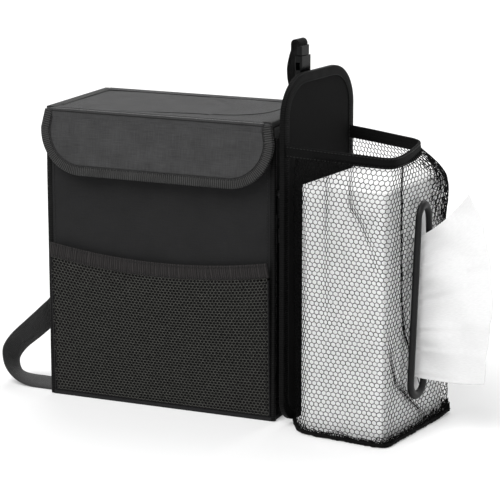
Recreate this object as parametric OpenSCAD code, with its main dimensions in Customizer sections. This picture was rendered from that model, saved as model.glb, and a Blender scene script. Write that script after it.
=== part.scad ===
// Car trash bin with a folding lid, and a netted tissue pocket strapped to its right side.
// Sizes are millimetres. The origin is the middle of the bin's underside, +Z is up and the front faces -Y.

/* [Bin] */
// Width of the bin across its front
bin_w = 234; // [210:1:260]
// Depth of the bin from front to back
bin_d = 120; // [105:1:140]
// Height of the bin to the top of its lid board
bin_h = 285; // [265:1:310]
// Thickness of a stiffened wall
wall_t = 3.5; // [3:0.5:5]
// Thickness of the base board
base_t = 4; // [3:0.5:6]
// Thickness of the waterproof lining
liner_t = 0.8; // [0.6:0.1:1.2]
// Radius of the upright corners
corner_r = 2.5; // [1.5:0.5:3]
// Radius of the piping bead down each corner
bead_r = 1.2; // [0.9:0.1:1.4]

/* [Tapes and stitching] */
// Thickness of the ribbed binding tape
tape_t = 0.8; // [0.6:0.1:1.2]
// Width of the binding tape on the flap and the holder board
tape_w = 9; // [7:0.5:12]
// Height of the tape round the rim
rim_tape_h = 10; // [7:1:14]
// Height of the tape round the foot
foot_tape_h = 4; // [3:1:6]
// Width of a sewn groove
stitch_w = 1.2; // [0.8:0.2:1.6]
// Depth of a sewn groove
stitch_d = 0.4; // [0.3:0.1:0.5]
// Distance of a wall's sewn groove from its corner
stitch_in = 5; // [4:0.5:7]

/* [Lid and flap] */
// Thickness of the lid board
lid_t = 4; // [3.5:0.5:5]
// Width of the binding tape along each side of the lid
lid_tape_w = 7; // [5:0.5:10]
// Thickness of the front flap
flap_t = 2.6; // [2.2:0.2:3.4]
// Drop of the front flap below the top of the lid
flap_drop = 63; // [58:1:72]
// Extra width of the flap at each lower corner
flap_flare = 3.5; // [1:0.5:4]
// Radius of the flap's lower corners
flap_r = 44; // [34:1:46]
// Lean of the hanging flap away from the bin's front, in degrees
flap_lean = 7.5; // [4:0.5:9]
// Thickness of each closure patch
patch_t = 1.4; // [1:0.2:1.8]
// Width of the closure patches
patch_w = 60; // [40:1:80]
// Height of the closure patches
patch_h = 22; // [16:1:26]

/* [Pockets and tabs] */
// Height of the front pocket to the middle of its elastic band
front_pocket_h = 150; // [125:1:165]
// Height of the elastic bands
band_h = 14; // [10:1:18]
// Sag of the front band at its middle
band_sag = 10; // [5:0.5:12]
// Thickness of an elastic band
band_t = 2; // [1.6:0.1:2.4]
// Distance of the front pocket's top from the wall
front_pocket_gap = 5.4; // [5:0.2:7]
// Height of each side pocket
side_pocket_h = 180; // [150:1:185]
// Distance of a side pocket's face from the wall
side_pocket_gap = 1; // [0.6:0.1:1.6]
// Thickness of netting and pocket cloth
net_t = 1.2; // [0.9:0.1:1.5]
// Spacing of the gaps in the netting
net_pitch = 19; // [18:0.5:24]
// Share of the spacing that each gap takes
net_open = 0.8; // [0.6:0.05:0.85]
// Height of a side tab
tab_h = 26; // [24:1:30]
// Width of a side tab along the wall
tab_w = 28; // [20:1:34]
// Thickness of a side tab's webbing
tab_t = 1.2; // [1:0.1:1.6]
// Clear depth of the tunnel under a side tab
tab_rise = 2.4; // [2.2:0.1:3]
// Height of a side tab's middle above the floor
tab_z = 207; // [202:1:214]

/* [Side strap] */
// Width of the side strap's webbing
strap_w = 38; // [30:1:42]
// Thickness of the side strap's webbing
strap_t = 1.8; // [1.4:0.1:2.2]
// Reach of the side strap's loop beyond the bin
strap_reach = 59.5; // [45:0.5:70]
// Distance of the side strap's near edge behind the bin's front
strap_y = 8; // [5:1:20]
// Height at which the side strap leaves the wall
strap_z = 100; // [90:1:118]

/* [Tissue holder] */
// Width of the holder board
board_w = 131; // [125:1:140]
// Height of the holder board's top
board_top = 330; // [320:1:345]
// Height of the holder board's foot
board_foot = 4; // [3:1:10]
// Thickness of the holder board
board_t = 4; // [3:0.5:5]
// Radius of the board's top corners
board_r = 40; // [30:1:48]
// Radius of the board's bottom corners
board_low_r = 24; // [16:1:32]
// Turn of the holder away from the bin's side, in degrees
holder_turn = 7.4; // [6:0.1:9]
// Distance from the bin's side to the front edge of the board
holder_gap = 17.7; // [17:0.1:20]
// Distance of the board's front edge ahead of the bin's front
holder_ahead = 17.7; // [15:0.1:20]
// Depth of the tissue box
box_t = 85; // [80:1:90]
// Width of the tissue box
box_w = 122; // [116:1:124]
// Height of the tissue box
box_h = 232; // [222:1:236]
// Distance from the board to the tissue box
box_gap = 18; // [14:1:22]
// Radius of the carton's upright edges
box_r = 2; // [1:0.5:4]
// Distance between the carton and the netting
net_gap = 5; // [4.5:0.5:6]
// Height of the hem round the pocket's foot
hem_h = 7; // [5:1:10]
// Thickness of the hem
hem_t = 5.5; // [4:0.5:7]
// Height of the rim band
rim_h = 12; // [10:1:15]
// Thickness of the rim band
rim_t = 2.2; // [1.8:0.1:2.8]
// Height of the rim band's top at the board
rim_top = 268.5; // [262:0.5:272]
// Slope of the rim band down and away from the board, in degrees
rim_slope = 2.4; // [1.5:0.1:4]

/* [Tissue slot] */
// Length of the slot ring
ring_len = 184.5; // [165:0.5:192]
// Width of the slot ring
ring_w = 33; // [31:1:38]
// Radius of the ring's moulded section
ring_r = 3.4; // [2.8:0.1:3.8]
// Height of the ring's middle
ring_z = 125.5; // [120:0.5:130]
// Place of the ring's middle along the holder
ring_s = 59.5; // [54:0.5:66]
// Lean of the ring, in degrees
ring_lean = 4; // [0:0.5:6]
// Reach of the tissue out of the slot
tissue_reach = 71; // [50:1:75]
// Thickness of the gathered tissue
tissue_t = 1.2; // [1:0.1:1.6]

/* [Hanging strap] */
// Width of the hanging strap's webbing
hang_w = 16; // [14:1:20]
// Thickness of the hanging strap's webbing
hang_t = 1.4; // [1.2:0.1:1.6]
// Place of the hanging strap's middle along the board
hang_s = 56; // [50:1:66]
// Width of the buckle
buckle_w = 21; // [21:1:28]
// Thickness of the buckle
buckle_t = 7.5; // [7:0.5:8.5]
// Height of the buckle's socket
socket_h = 21; // [19:1:24]
// Height of the socket's foot
socket_z = 322; // [318:1:328]
// Height of the plug's head
plug_h = 9; // [8:0.5:12]
// Length of the plug's prongs
prong_len = 14; // [12:0.5:15]

/* [Hidden] */
$fn = 48;
// Clearance between a moving or loose piece and what it meets
seat_gap = 0.3;
// How far a cutting solid runs past the face that it cuts
past = 1;
// Sides of the very large circles behind the sagging bands
band_fn = 720;
// Half of the bin's width and of its depth
half_w = bin_w / 2;
half_d = bin_d / 2;
// Underside of the lid board, and the tops of the rim tape and of the walls below it
lid_low = bin_h - lid_t;
rim_tape_top = lid_low - tape_t - seat_gap;
wall_top = rim_tape_top - tape_t;
rim_tape_low = wall_top - rim_tape_h;
// Hinge line at the back of the lid
hinge_y = half_d - lid_t / 2;
hinge_z = bin_h - lid_t / 2;
// Middle of the flap's thickness, which is also where it folds
fold_y = -half_d - 2 * patch_t - seat_gap - flap_t / 2;
fold_z = bin_h - flap_t / 2;
// Front edge of the lid board
lid_front = fold_y + flap_t / 2 + seat_gap;
// Bottom of the flap, and the top of its tape, which stays clear of the lid's own tape
flap_low = bin_h - flap_drop;
flap_tape_top = rim_tape_top;
// Middle height of the closure patches
patch_z = flap_low + tape_w + 2 * stitch_w + 3 + patch_h / 2;
// Half width of the front pocket, its foot, and the lean of its face
pocket_half = half_w - corner_r;
pocket_low = foot_tape_h + seat_gap;
front_lean = asin(front_pocket_gap / front_pocket_h);
band_r = (pocket_half * pocket_half + band_sag * band_sag) / (2 * band_sag);
// Length of a side pocket along its wall
side_pocket_w = bin_d - 2 * (stitch_in + stitch_w + 1);
// Sewn ends of a side tab, the height over which it rises, and its distance behind the bin's front
tab_sewn = 3;
tab_slant = 2;
tab_in = 6;
// Face that the side strap is sewn to
strap_face = half_w + side_pocket_gap + net_t;
// Angles of the holder's turn
turn_c = cos(holder_turn);
turn_s = sin(holder_turn);
// Front edge of the holder board's outer face
board_x = half_w + holder_gap;
board_y = -half_d - holder_ahead;
// Faces of the carton, counted out from the board and along it
box_n = box_gap + box_t;
box_s = 2;
box_z = net_t + seat_gap;
box_top = box_z + box_h;
// Outer faces of the netting
net_n = box_n + net_gap + net_t;
net_s0 = box_s - net_gap - net_t;
net_s1 = box_s + box_w + net_gap + net_t;
net_top = box_top + 2;
// Radius of the ring's bends along the middle of its section
ring_bend = ring_w / 2 - ring_r;
ring_straight = ring_len - ring_w;
ring_n = net_n + 0.6 * ring_r;
// Middle of the buckle's thickness, and the far strand of the hanging strap
buckle_n = -board_t - 2 - buckle_t / 2;
strand_gap = 13.5;
strand_n = -board_t - strand_gap;
// Lengths of webbing from the socket's foot down to where the strands are sewn, and to where each lifts off
anchor_len = 72;
anchor_lift = 20;
return_len = 67;
return_lift = 30;
strap_entry = 5;
socket_top = socket_z + socket_h;
plug_low = socket_top + seat_gap;
plug_top = plug_low + plug_h;
fold_low = plug_low + 2;
bend_r = (buckle_n - strand_n) / 2;

// A plan shape with round corners, middled on the origin
module round_plan(w, d, r) {
    square([w - 2 * r, d], center = true);
    square([w, d - 2 * r], center = true);
    for (x = [-1, 1]) {
        for (y = [-1, 1]) {
            translate([x * (w / 2 - r), y * (d / 2 - r)]) circle(r);
        }
    }
}

// A board's outline with its own radii at the top and the bottom, drawn in by a margin
module board_shape(w, low, top, top_r, low_r, inset) {
    tr = top_r - inset;
    lr = low_r - inset;
    left = inset;
    right = w - inset;
    foot = low + inset;
    head = top - inset;
    translate([left, foot + lr]) square([right - left, head - tr - foot - lr]);
    translate([left + lr, foot]) square([right - left - 2 * lr, lr]);
    translate([left + tr, head - tr]) square([right - left - 2 * tr, tr]);
    translate([left + lr, foot + lr]) circle(lr, $fn = 64);
    translate([right - lr, foot + lr]) circle(lr, $fn = 64);
    translate([left + tr, head - tr]) circle(tr, $fn = 96);
    translate([right - tr, head - tr]) circle(tr, $fn = 96);
}

// Turns a flat shape drawn across and up into a sheet that stands in X and Z, its face at y = 0
module stand(t) {
    rotate([90, 0, 0]) translate([0, 0, -t]) linear_extrude(t) children();
}

// The corner points of a strip of even thickness along a line of points
function unit(v) = v / norm(v);
function left_of(v) = [-v[1], v[0]];
function mitre(p, i, t) =
    let (last = len(p) - 1)
    let (a = unit(p[min(i + 1, last)] - p[min(i, last - 1)]))
    let (b = unit(p[max(i, 1)] - p[max(i - 1, 0)]))
    let (m = unit(a + b))
    left_of(m) * (t / 2) / (m * a);
function strip(p, t) = concat(
    [for (i = [0 : len(p) - 1]) p[i] + mitre(p, i, t)],
    [for (i = [len(p) - 1 : -1 : 0]) p[i] - mitre(p, i, t)]
);
function arc(x, y, r, from, to, steps) =
    [for (i = [0 : steps]) [x + r * cos(from + (to - from) * i / steps), y + r * sin(from + (to - from) * i / steps)]];

// Rows of six-sided gaps that fill a width and a height, with every other row set over
module net_gaps(w, h) {
    gap_r = net_pitch * net_open / 2 / cos(30);
    row = net_pitch * sin(60);
    cols = floor((w - 2 * gap_r) / net_pitch);
    rows = floor((h - 2 * gap_r) / row);
    for (j = [0 : rows]) {
        shift = (j % 2) * net_pitch / 2;
        for (i = [0 : cols - j % 2]) {
            x = w / 2 + (i - cols / 2) * net_pitch + shift;
            y = h / 2 + (j - rows / 2) * row;
            translate([x, y]) rotate(30) circle(gap_r, $fn = 6);
        }
    }
}

// A wall board with its sewn grooves, its outer face at y = 0
module wall(w) {
    difference() {
        translate([-w / 2, 0, 0]) cube([w, wall_t, wall_top]);
        for (side = [-1, 1]) {
            translate([side * (w / 2 - stitch_in) - stitch_w / 2, -past, foot_tape_h])
                cube([stitch_w, past + stitch_d, rim_tape_low - foot_tape_h]);
        }
    }
}

module front_wall() {
    color("#2b2b2b") translate([0, -half_d, 0]) wall(bin_w - 2 * wall_t);
}

module back_wall() {
    color("#2b2b2b") rotate([0, 0, 180]) translate([0, -half_d, 0]) wall(bin_w - 2 * wall_t);
}

module left_wall() {
    color("#2b2b2b") rotate([0, 0, -90]) translate([0, -half_w, 0]) wall(bin_d - 2 * wall_t);
}

module right_wall() {
    color("#2b2b2b") rotate([0, 0, 90]) translate([0, -half_w, 0]) wall(bin_d - 2 * wall_t);
}

module base_panel() {
    color("#222222")
        translate([wall_t - half_w, wall_t - half_d, 0])
            cube([bin_w - 2 * wall_t, bin_d - 2 * wall_t, base_t]);
}

// The lining stands just inside the walls and stops below the rim tape
module liner() {
    liner_w = bin_w - 2 * wall_t - 2 * seat_gap;
    liner_d = bin_d - 2 * wall_t - 2 * seat_gap;
    low = base_t + seat_gap;
    color("#9a9a9a")
        difference() {
            translate([0, 0, low])
                linear_extrude(rim_tape_low - seat_gap - low) round_plan(liner_w, liner_d, corner_r + 2);
            translate([0, 0, low + liner_t])
                linear_extrude(wall_top) round_plan(liner_w - 2 * liner_t, liner_d - 2 * liner_t, corner_r + 2 - liner_t);
        }
}

// A corner where two walls are sewn together, with a piping bead down its outside
module corner_seam(side, end) {
    bead_at = wall_t - corner_r * (1 - cos(45));
    color("#1e1e1e")
        mirror([side < 0 ? 1 : 0, 0, 0])
            mirror([0, end < 0 ? 1 : 0, 0])
                translate([half_w - wall_t, half_d - wall_t, 0]) {
                    linear_extrude(wall_top) {
                        square([wall_t - corner_r, wall_t]);
                        square([wall_t, wall_t - corner_r]);
                        translate([wall_t - corner_r, wall_t - corner_r]) intersection() {
                            circle(corner_r);
                            square(corner_r);
                        }
                    }
                    translate([0, 0, foot_tape_h])
                        linear_extrude(rim_tape_low - foot_tape_h) intersection() {
                            translate([bead_at, bead_at]) circle(bead_r);
                            square(2 * wall_t);
                        }
                }
}

module corner_seam_front_left() {
    corner_seam(-1, -1);
}

module corner_seam_front_right() {
    corner_seam(1, -1);
}

module corner_seam_back_left() {
    corner_seam(-1, 1);
}

module corner_seam_back_right() {
    corner_seam(1, 1);
}

// Tape folded over the top edge of all four walls
module rim_tape() {
    color("#4a4a4a")
        difference() {
            translate([0, 0, rim_tape_low])
                linear_extrude(rim_tape_h + tape_t)
                    round_plan(bin_w + 2 * tape_t, bin_d + 2 * tape_t, corner_r + tape_t);
            difference() {
                linear_extrude(wall_top) round_plan(bin_w, bin_d, corner_r);
                linear_extrude(wall_top + past) square([bin_w - 2 * wall_t, bin_d - 2 * wall_t], center = true);
            }
            linear_extrude(bin_h)
                square([bin_w - 2 * wall_t - 2 * tape_t, bin_d - 2 * wall_t - 2 * tape_t], center = true);
        }
}

module foot_tape() {
    color("#1e1e1e")
        linear_extrude(foot_tape_h)
            difference() {
                round_plan(bin_w + 2 * tape_t, bin_d + 2 * tape_t, corner_r + tape_t);
                round_plan(bin_w, bin_d, corner_r);
            }
}

// The cloth that the lid turns on, sewn down the back over the rim tape
module hinge_strip() {
    strip_h = 2 * rim_tape_h;
    color("#3a3a3a")
        translate([-half_w + corner_r + 4, half_d, rim_tape_top - strip_h]) {
            cube([bin_w - 2 * corner_r - 8, tape_t, strip_h - rim_tape_h - tape_t]);
            translate([0, tape_t, 0]) cube([bin_w - 2 * corner_r - 8, tape_t, strip_h]);
        }
}

module patch(t) {
    translate([-patch_w / 2, 0, patch_z - patch_h / 2]) cube([patch_w, t, patch_h]);
}

module loop_patch() {
    color("#1a1a1a") translate([0, -half_d - patch_t, 0]) patch(patch_t);
}

// Leans a piece of the flap away from the bin, about the flap's fold
module leaning() {
    translate([0, fold_y, fold_z]) rotate([-flap_lean, 0, 0]) translate([0, -fold_y, -fold_z]) children();
}

module hook_patch() {
    color("#1a1a1a") leaning() translate([0, fold_y + flap_t / 2, 0]) patch(patch_t);
}

// The sagging top edge of the front pocket, cut out of a shape of the pocket's width
module band_curve(drop) {
    translate([0, front_pocket_h - band_sag + band_r]) circle(band_r + drop, $fn = band_fn);
}

// Puts a sheet on the leaning face of the front pocket
module on_front_pocket() {
    translate([0, -half_d, pocket_low]) rotate([front_lean, 0, 0]) translate([0, -net_t, 0]) children();
}

module front_pocket() {
    gusset_h = front_pocket_h - band_h - 2;
    color("#2a2a28") {
        difference() {
            on_front_pocket() stand(net_t) difference() {
                translate([-pocket_half, 0]) square([2 * pocket_half, front_pocket_h]);
                band_curve(band_h);
                translate([-pocket_half + 4, 6]) intersection() {
                    net_gaps(2 * pocket_half - 8, front_pocket_h - band_h - band_sag - 10);
                    square([2 * pocket_half - 8, front_pocket_h - band_h - band_sag - 10]);
                }
            }
            translate([-half_w, -half_d, 0]) cube([bin_w, wall_t, bin_h]);
        }
        for (side = [-1, 1]) {
            translate([side * (pocket_half - seat_gap - net_t / 2) - net_t / 2, -half_d, pocket_low])
                rotate([90, 0, 90])
                    linear_extrude(net_t)
                        polygon([[0, 0], [0, gusset_h], [-gusset_h * tan(front_lean) - net_t / 2, gusset_h],
                                 [-net_t / 2, 0]]);
        }
    }
}

module front_pocket_band() {
    color("#4a4646")
        difference() {
            on_front_pocket() translate([0, (net_t - band_t) / 2, 0]) stand(band_t) intersection() {
                translate([-pocket_half, 0]) square([2 * pocket_half, front_pocket_h + past]);
                difference() {
                    band_curve(band_h);
                    band_curve(0);
                }
            }
            translate([-half_w, -half_d, 0]) cube([bin_w, wall_t, bin_h]);
        }
}

// A side pocket and its band, on the right wall; the left one is its mirror image
module side_pocket() {
    cloth_h = side_pocket_h - band_h;
    translate([half_w, -side_pocket_w / 2, pocket_low]) {
        translate([side_pocket_gap, 0, 0]) cube([net_t, side_pocket_w, cloth_h]);
        cube([side_pocket_gap, net_t, cloth_h]);
        translate([0, side_pocket_w - net_t, 0]) cube([side_pocket_gap, net_t, cloth_h]);
        cube([side_pocket_gap, side_pocket_w, net_t]);
    }
}

module side_band() {
    translate([half_w, -side_pocket_w / 2, pocket_low + side_pocket_h - band_h]) {
        translate([side_pocket_gap + net_t - band_t / 2 - net_t / 2, 0, 0])
            cube([band_t, side_pocket_w, band_h]);
        cube([side_pocket_gap + net_t / 2 - band_t / 2, net_t, band_h]);
        translate([0, side_pocket_w - net_t, 0]) cube([side_pocket_gap + net_t / 2 - band_t / 2, net_t, band_h]);
    }
}

module left_pocket() {
    color("#2a2a28") mirror([1, 0, 0]) side_pocket();
}

module right_pocket() {
    color("#2a2a28") side_pocket();
}

module left_pocket_band() {
    color("#4a4646") mirror([1, 0, 0]) side_band();
}

module right_pocket_band() {
    color("#4a4646") side_band();
}

// A strip sewn down at its top and bottom, which leaves a tunnel for webbing
module side_tab() {
    line = [
        [tab_t / 2, 0],
        [tab_t / 2, tab_sewn],
        [tab_rise + tab_t / 2, tab_sewn + tab_slant],
        [tab_rise + tab_t / 2, tab_h - tab_sewn - tab_slant],
        [tab_t / 2, tab_h - tab_sewn],
        [tab_t / 2, tab_h]
    ];
    translate([half_w, -half_d + tab_in + tab_w, tab_z - tab_h / 2])
        rotate([90, 0, 0]) linear_extrude(tab_w) polygon(strip(line, tab_t));
}

module left_tab() {
    color("#2f2f2f") mirror([1, 0, 0]) side_tab();
}

module right_tab() {
    color("#2f2f2f") side_tab();
}

// The loop of the side strap: a strip that leans back at its top and lies flat on the floor
strap_line = [
    [0, 1.18 * strap_z, 0],
    [0, strap_z, 12],
    [-0.067 * strap_reach, 0.85 * strap_z, 28],
    [-0.27 * strap_reach, 0.71 * strap_z, 38],
    [-0.54 * strap_reach, 0.56 * strap_z, 38],
    [-0.81 * strap_reach, 0.42 * strap_z, 34],
    [-0.96 * strap_reach, 0.31 * strap_z, 31],
    [-strap_reach, 0.23 * strap_z, 29],
    [-0.966 * strap_reach, 0.135 * strap_z, 24],
    [-0.874 * strap_reach, 0.075 * strap_z, 16],
    [-0.72 * strap_reach, 0.034 * strap_z, 7],
    [-0.52 * strap_reach, strap_t / 2 + 0.5, 1],
    [-0.3 * strap_reach, strap_t / 2, 0],
    [side_pocket_gap + net_t - tape_t, strap_t / 2, 0]
];
// The four corners of the side strap's section at each point of its loop
function strap_side(i) =
    let (last = len(strap_line) - 1)
    let (a = strap_line[max(i - 1, 0)])
    let (b = strap_line[min(i + 1, last)])
    unit(left_of([b[0] - a[0], b[1] - a[1]]));
function strap_ring(i) =
    let (p = strap_line[i])
    let (side = strap_side(i) * strap_t / 2)
    let (across = strap_w / 2 * [0, cos(p[2]), -sin(p[2])])
    let (middle = [-strap_face - strap_t / 2 + p[0], -half_d + strap_y + strap_w / 2, p[1]])
    [
        middle + [side[0], 0, side[1]] - across,
        middle + [side[0], 0, side[1]] + across,
        middle - [side[0], 0, side[1]] + across,
        middle - [side[0], 0, side[1]] - across
    ];

module side_strap() {
    count = len(strap_line);
    rings = [for (i = [0 : count - 1]) each strap_ring(i)];
    walls = [for (i = [0 : count - 2]) for (k = [0 : 3])
        each [
            [4 * i + k, 4 * i + (k + 1) % 4, 4 * i + 4 + k],
            [4 * i + (k + 1) % 4, 4 * i + 4 + (k + 1) % 4, 4 * i + 4 + k]
        ]];
    ends = [[3, 2, 1, 0], [4 * count - 4, 4 * count - 3, 4 * count - 2, 4 * count - 1]];
    color("#333333") polyhedron(rings, concat(walls, ends));
}

// The lid board, with a round back edge that turns on the hinge line
module lid_panel() {
    edge = half_w - tape_t;
    color("#4a4a4a") {
        translate([-edge, lid_front, lid_low]) cube([2 * edge, hinge_y - lid_front, lid_t]);
        translate([-edge, hinge_y, hinge_z]) rotate([0, 90, 0]) cylinder(r = lid_t / 2, h = 2 * edge);
    }
}

module lid_tape() {
    color("#565656")
        translate([half_w - lid_tape_w, lid_front, lid_low - tape_t])
            difference() {
                cube([lid_tape_w, hinge_y - lid_front, lid_t + 2 * tape_t]);
                translate([-past, -past, tape_t])
                    cube([lid_tape_w + past - tape_t, bin_d * 2, lid_t]);
            }
}

module lid_tape_left() {
    mirror([1, 0, 0]) lid_tape();
}

module lid_tape_right() {
    lid_tape();
}

// Outline of the hanging flap below a height, drawn in by a margin; its sides splay from the fold down
function flap_shape(inset, top) =
    let (r = flap_r - inset)
    let (wide = half_w + flap_flare - inset)
    let (low = flap_low + inset)
    let (at_top = half_w - inset + flap_flare * (fold_z - top) / (fold_z - flap_low - flap_r))
    concat(
        [[-at_top, top]],
        arc(-wide + r, low + r, r, 180, 270, 10),
        arc(wide - r, low + r, r, 270, 360, 10),
        [[at_top, top]]
    );

module flap_panel() {
    groove = tape_w + stitch_w;
    color("#4a4a4a")
        leaning() translate([0, fold_y - flap_t / 2, 0]) {
            difference() {
                stand(flap_t) polygon(flap_shape(tape_t, fold_z));
                translate([0, -past, 0]) stand(past + stitch_d) difference() {
                    polygon(flap_shape(groove, flap_tape_top));
                    polygon(flap_shape(groove + stitch_w, flap_tape_top + past));
                }
            }
            translate([-half_w + tape_t, flap_t / 2, fold_z])
                rotate([0, 90, 0]) cylinder(r = flap_t / 2, h = bin_w - 2 * tape_t);
        }
}

module flap_tape() {
    color("#565656")
        leaning() translate([0, fold_y - flap_t / 2 - tape_t, 0])
            difference() {
                stand(flap_t + 2 * tape_t) difference() {
                    polygon(flap_shape(0, flap_tape_top));
                    polygon(flap_shape(tape_w, flap_tape_top + past));
                }
                translate([0, tape_t, 0]) stand(flap_t) polygon(flap_shape(tape_t, flap_tape_top + past));
            }
}

// Holder pieces are drawn outwards from the board, along it and up, then turned into place
module in_holder() {
    translate([board_x, board_y, 0]) rotate([0, 0, -holder_turn]) children();
}

// A place on the holder in plan, from its distance off the board and along it
function on_board(n, s) = [board_x + n * turn_c + s * turn_s, board_y - n * turn_s + s * turn_c];

// Stands a flat shape drawn along the board and up on the plane at a distance off the board
module on_plane(n, t) {
    translate([n, 0, 0]) rotate([90, 0, 90]) linear_extrude(t) children();
}

// The webbing that hangs the holder on the bin's right tab
module link_strap() {
    link_t = tab_rise - 1;
    link_w = tab_h - 2 * tab_sewn - 2 * tab_slant - 1;
    sewn_len = 10;
    slack = 2;
    tunnel = half_w + tab_rise / 2;
    face = -board_t - link_t / 2;
    far = tab_w + 4 * sewn_len - slack;
    line = [
        on_board(face, tape_w + slack),
        on_board(face, tape_w + slack + sewn_len),
        [tunnel, -half_d + 2 * slack],
        [tunnel, -half_d + tab_w + 4 * slack],
        on_board(face, far),
        on_board(face, far + sewn_len + slack)
    ];
    color("#2f2f2f") translate([0, 0, tab_z - link_w / 2]) linear_extrude(link_w) polygon(strip(line, link_t));
}

module holder_board() {
    color("#1b1b1b")
        in_holder()
            difference() {
                on_plane(-board_t, board_t) board_shape(board_w, board_foot, board_top, board_r, board_low_r, tape_t);
                for (n = [-board_t - past, -stitch_d]) {
                    on_plane(n, past + stitch_d) difference() {
                        board_shape(board_w, board_foot, board_top, board_r, board_low_r, tape_w + stitch_w);
                        board_shape(board_w, board_foot, board_top, board_r, board_low_r, tape_w + 2 * stitch_w);
                    }
                }
            }
}

// Tape sewn round the edge of the board and folded over both its faces
module board_tape() {
    color("#333333")
        in_holder()
            difference() {
                on_plane(-board_t - tape_t, board_t + 2 * tape_t)
                    board_shape(board_w, board_foot, board_top, board_r, board_low_r, 0);
                on_plane(-board_t, board_t)
                    board_shape(board_w, board_foot, board_top, board_r, board_low_r, tape_t);
                on_plane(-board_t - tape_t - past, board_t + 2 * tape_t + 2 * past)
                    board_shape(board_w, board_foot, board_top, board_r, board_low_r, tape_w);
                on_plane(0, tape_t + past) translate([-past, 0]) square([board_w + 2 * past, rim_top + past]);
            }
}

// A netted wall seen square on, with a plain edge all round
module net_wall(w, h) {
    edge = 4;
    difference() {
        square([w, h]);
        translate([edge, edge]) net_gaps(w - 2 * edge, h - 2 * edge);
    }
}

module net_front() {
    color("#141414")
        in_holder() translate([0, net_s0, net_t]) stand(net_t) net_wall(net_n, net_top - net_t);
}

module net_back() {
    color("#141414")
        in_holder() translate([0, net_s1 - net_t, net_t]) stand(net_t) net_wall(net_n, net_top - net_t);
}

// The shape of the slot's hole or rim, grown from the middle line of the ring
module slot_shape(grow) {
    r = ring_bend + grow;
    square([2 * r, ring_straight], center = true);
    for (end = [-1, 1]) {
        translate([0, end * ring_straight / 2]) circle(r);
    }
}

module net_outer() {
    inner_w = net_s1 - net_s0 - 2 * net_t;
    color("#141414")
        in_holder()
            on_plane(net_n - net_t, net_t)
                translate([net_s0 + net_t, net_t])
                    difference() {
                        square([inner_w, net_top - net_t]);
                        difference() {
                            translate([4, 4]) net_gaps(inner_w - 8, net_top - net_t - 8);
                            translate([ring_s - net_s0 - net_t, ring_z - net_t]) rotate(-ring_lean)
                                slot_shape(ring_r + 2);
                        }
                        translate([ring_s - net_s0 - net_t, ring_z - net_t]) rotate(-ring_lean) slot_shape(0);
                    }
}

module net_base() {
    color("#141414")
        in_holder() linear_extrude(net_t)
            difference() {
                translate([0, net_s0]) square([net_n, net_s1 - net_s0]);
                translate([14, net_s0 + 14]) net_gaps(net_n - 28, net_s1 - net_s0 - 28);
            }
}

// Radius of the rim's two corners, and how far each is drawn in from the netting's outer face
rim_round = 10;
rim_draw_near = 6.2;
rim_draw_far = 24.2;
// Distance of the rim's ends from the board's two edges, and how far each corner is drawn in past its end
rim_start = 2;
rim_finish = 4;
rim_narrow = 13.5;
// Radius of the netting's upright corners where the shoulder starts
net_round = 8;
// The open path of the rim in plan, from the board round the pocket and back, moved out by a distance
function rim_path(out) = concat(
    [[0, rim_start - out]],
    arc(net_n - rim_draw_near - rim_round, rim_start + rim_narrow + rim_round, rim_round + out, 282, 360, 5),
    arc(net_n - rim_draw_far - rim_round, board_w - rim_finish - rim_narrow - rim_round, rim_round + out, 12, 84, 5),
    [[0, board_w - rim_finish + out]]
);
// The same path along the top of the netted walls, with as many points
function wall_path(out) = concat(
    [[0, net_s0 - out]],
    arc(net_n - net_round, net_s0 + net_round, net_round + out, 270, 360, 5),
    arc(net_n - net_round, net_s1 - net_round, net_round + out, 0, 90, 5),
    [[0, net_s1 + out]]
);
// A path with each of its parts divided into equal steps
function divided(p, steps) = concat(
    [for (i = [0 : len(p) - 2]) for (k = [0 : steps - 1]) p[i] + (p[i + 1] - p[i]) * k / steps],
    [p[len(p) - 1]]
);
// Height of the shoulder's top, just under the sloping rim band
function rim_low(n) = rim_top - rim_h - n * tan(rim_slope) - seat_gap - 0.1;

// Netting drawn in from the walls' top edge to the smaller rim
module net_shoulder() {
    steps = 4;
    low_out = divided(wall_path(0), steps);
    low_in = divided(wall_path(-net_t), steps);
    high_out = divided(rim_path(0), steps);
    high_in = divided(rim_path(-net_t), steps);
    count = len(low_out);
    points = [for (i = [0 : count - 1]) each [
        [low_out[i][0], low_out[i][1], net_top],
        [low_in[i][0], low_in[i][1], net_top],
        [high_in[i][0], high_in[i][1], rim_low(high_in[i][0])],
        [high_out[i][0], high_out[i][1], rim_low(high_out[i][0])]
    ]];
    walls = [for (i = [0 : count - 2]) for (k = [0 : 3])
        let (a = 4 * i + k)
        let (b = 4 * i + (k + 1) % 4)
        each k == 1 ? [[a, a + 4, b + 4], [a, b + 4, b]] : [[a, a + 4, b], [b, a + 4, b + 4]]];
    ends = [[0, 1, 2, 3], [4 * count - 1, 4 * count - 2, 4 * count - 3, 4 * count - 4]];
    color("#141414") in_holder() polyhedron(points, concat(walls, ends));
}

module net_hem() {
    r = net_round + hem_t;
    color("#161616")
        in_holder() linear_extrude(hem_h)
            difference() {
                translate([net_n / 2, (net_s0 + net_s1) / 2])
                    round_plan(net_n + 2 * hem_t, net_s1 - net_s0 + 2 * hem_t, r);
                translate([-2 * net_n, net_s0]) square([3 * net_n, net_s1 - net_s0]);
                translate([-2 * net_n, net_s0 - 2 * hem_t])
                    square([2 * net_n, net_s1 - net_s0 + 4 * hem_t]);
            }
}

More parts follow.
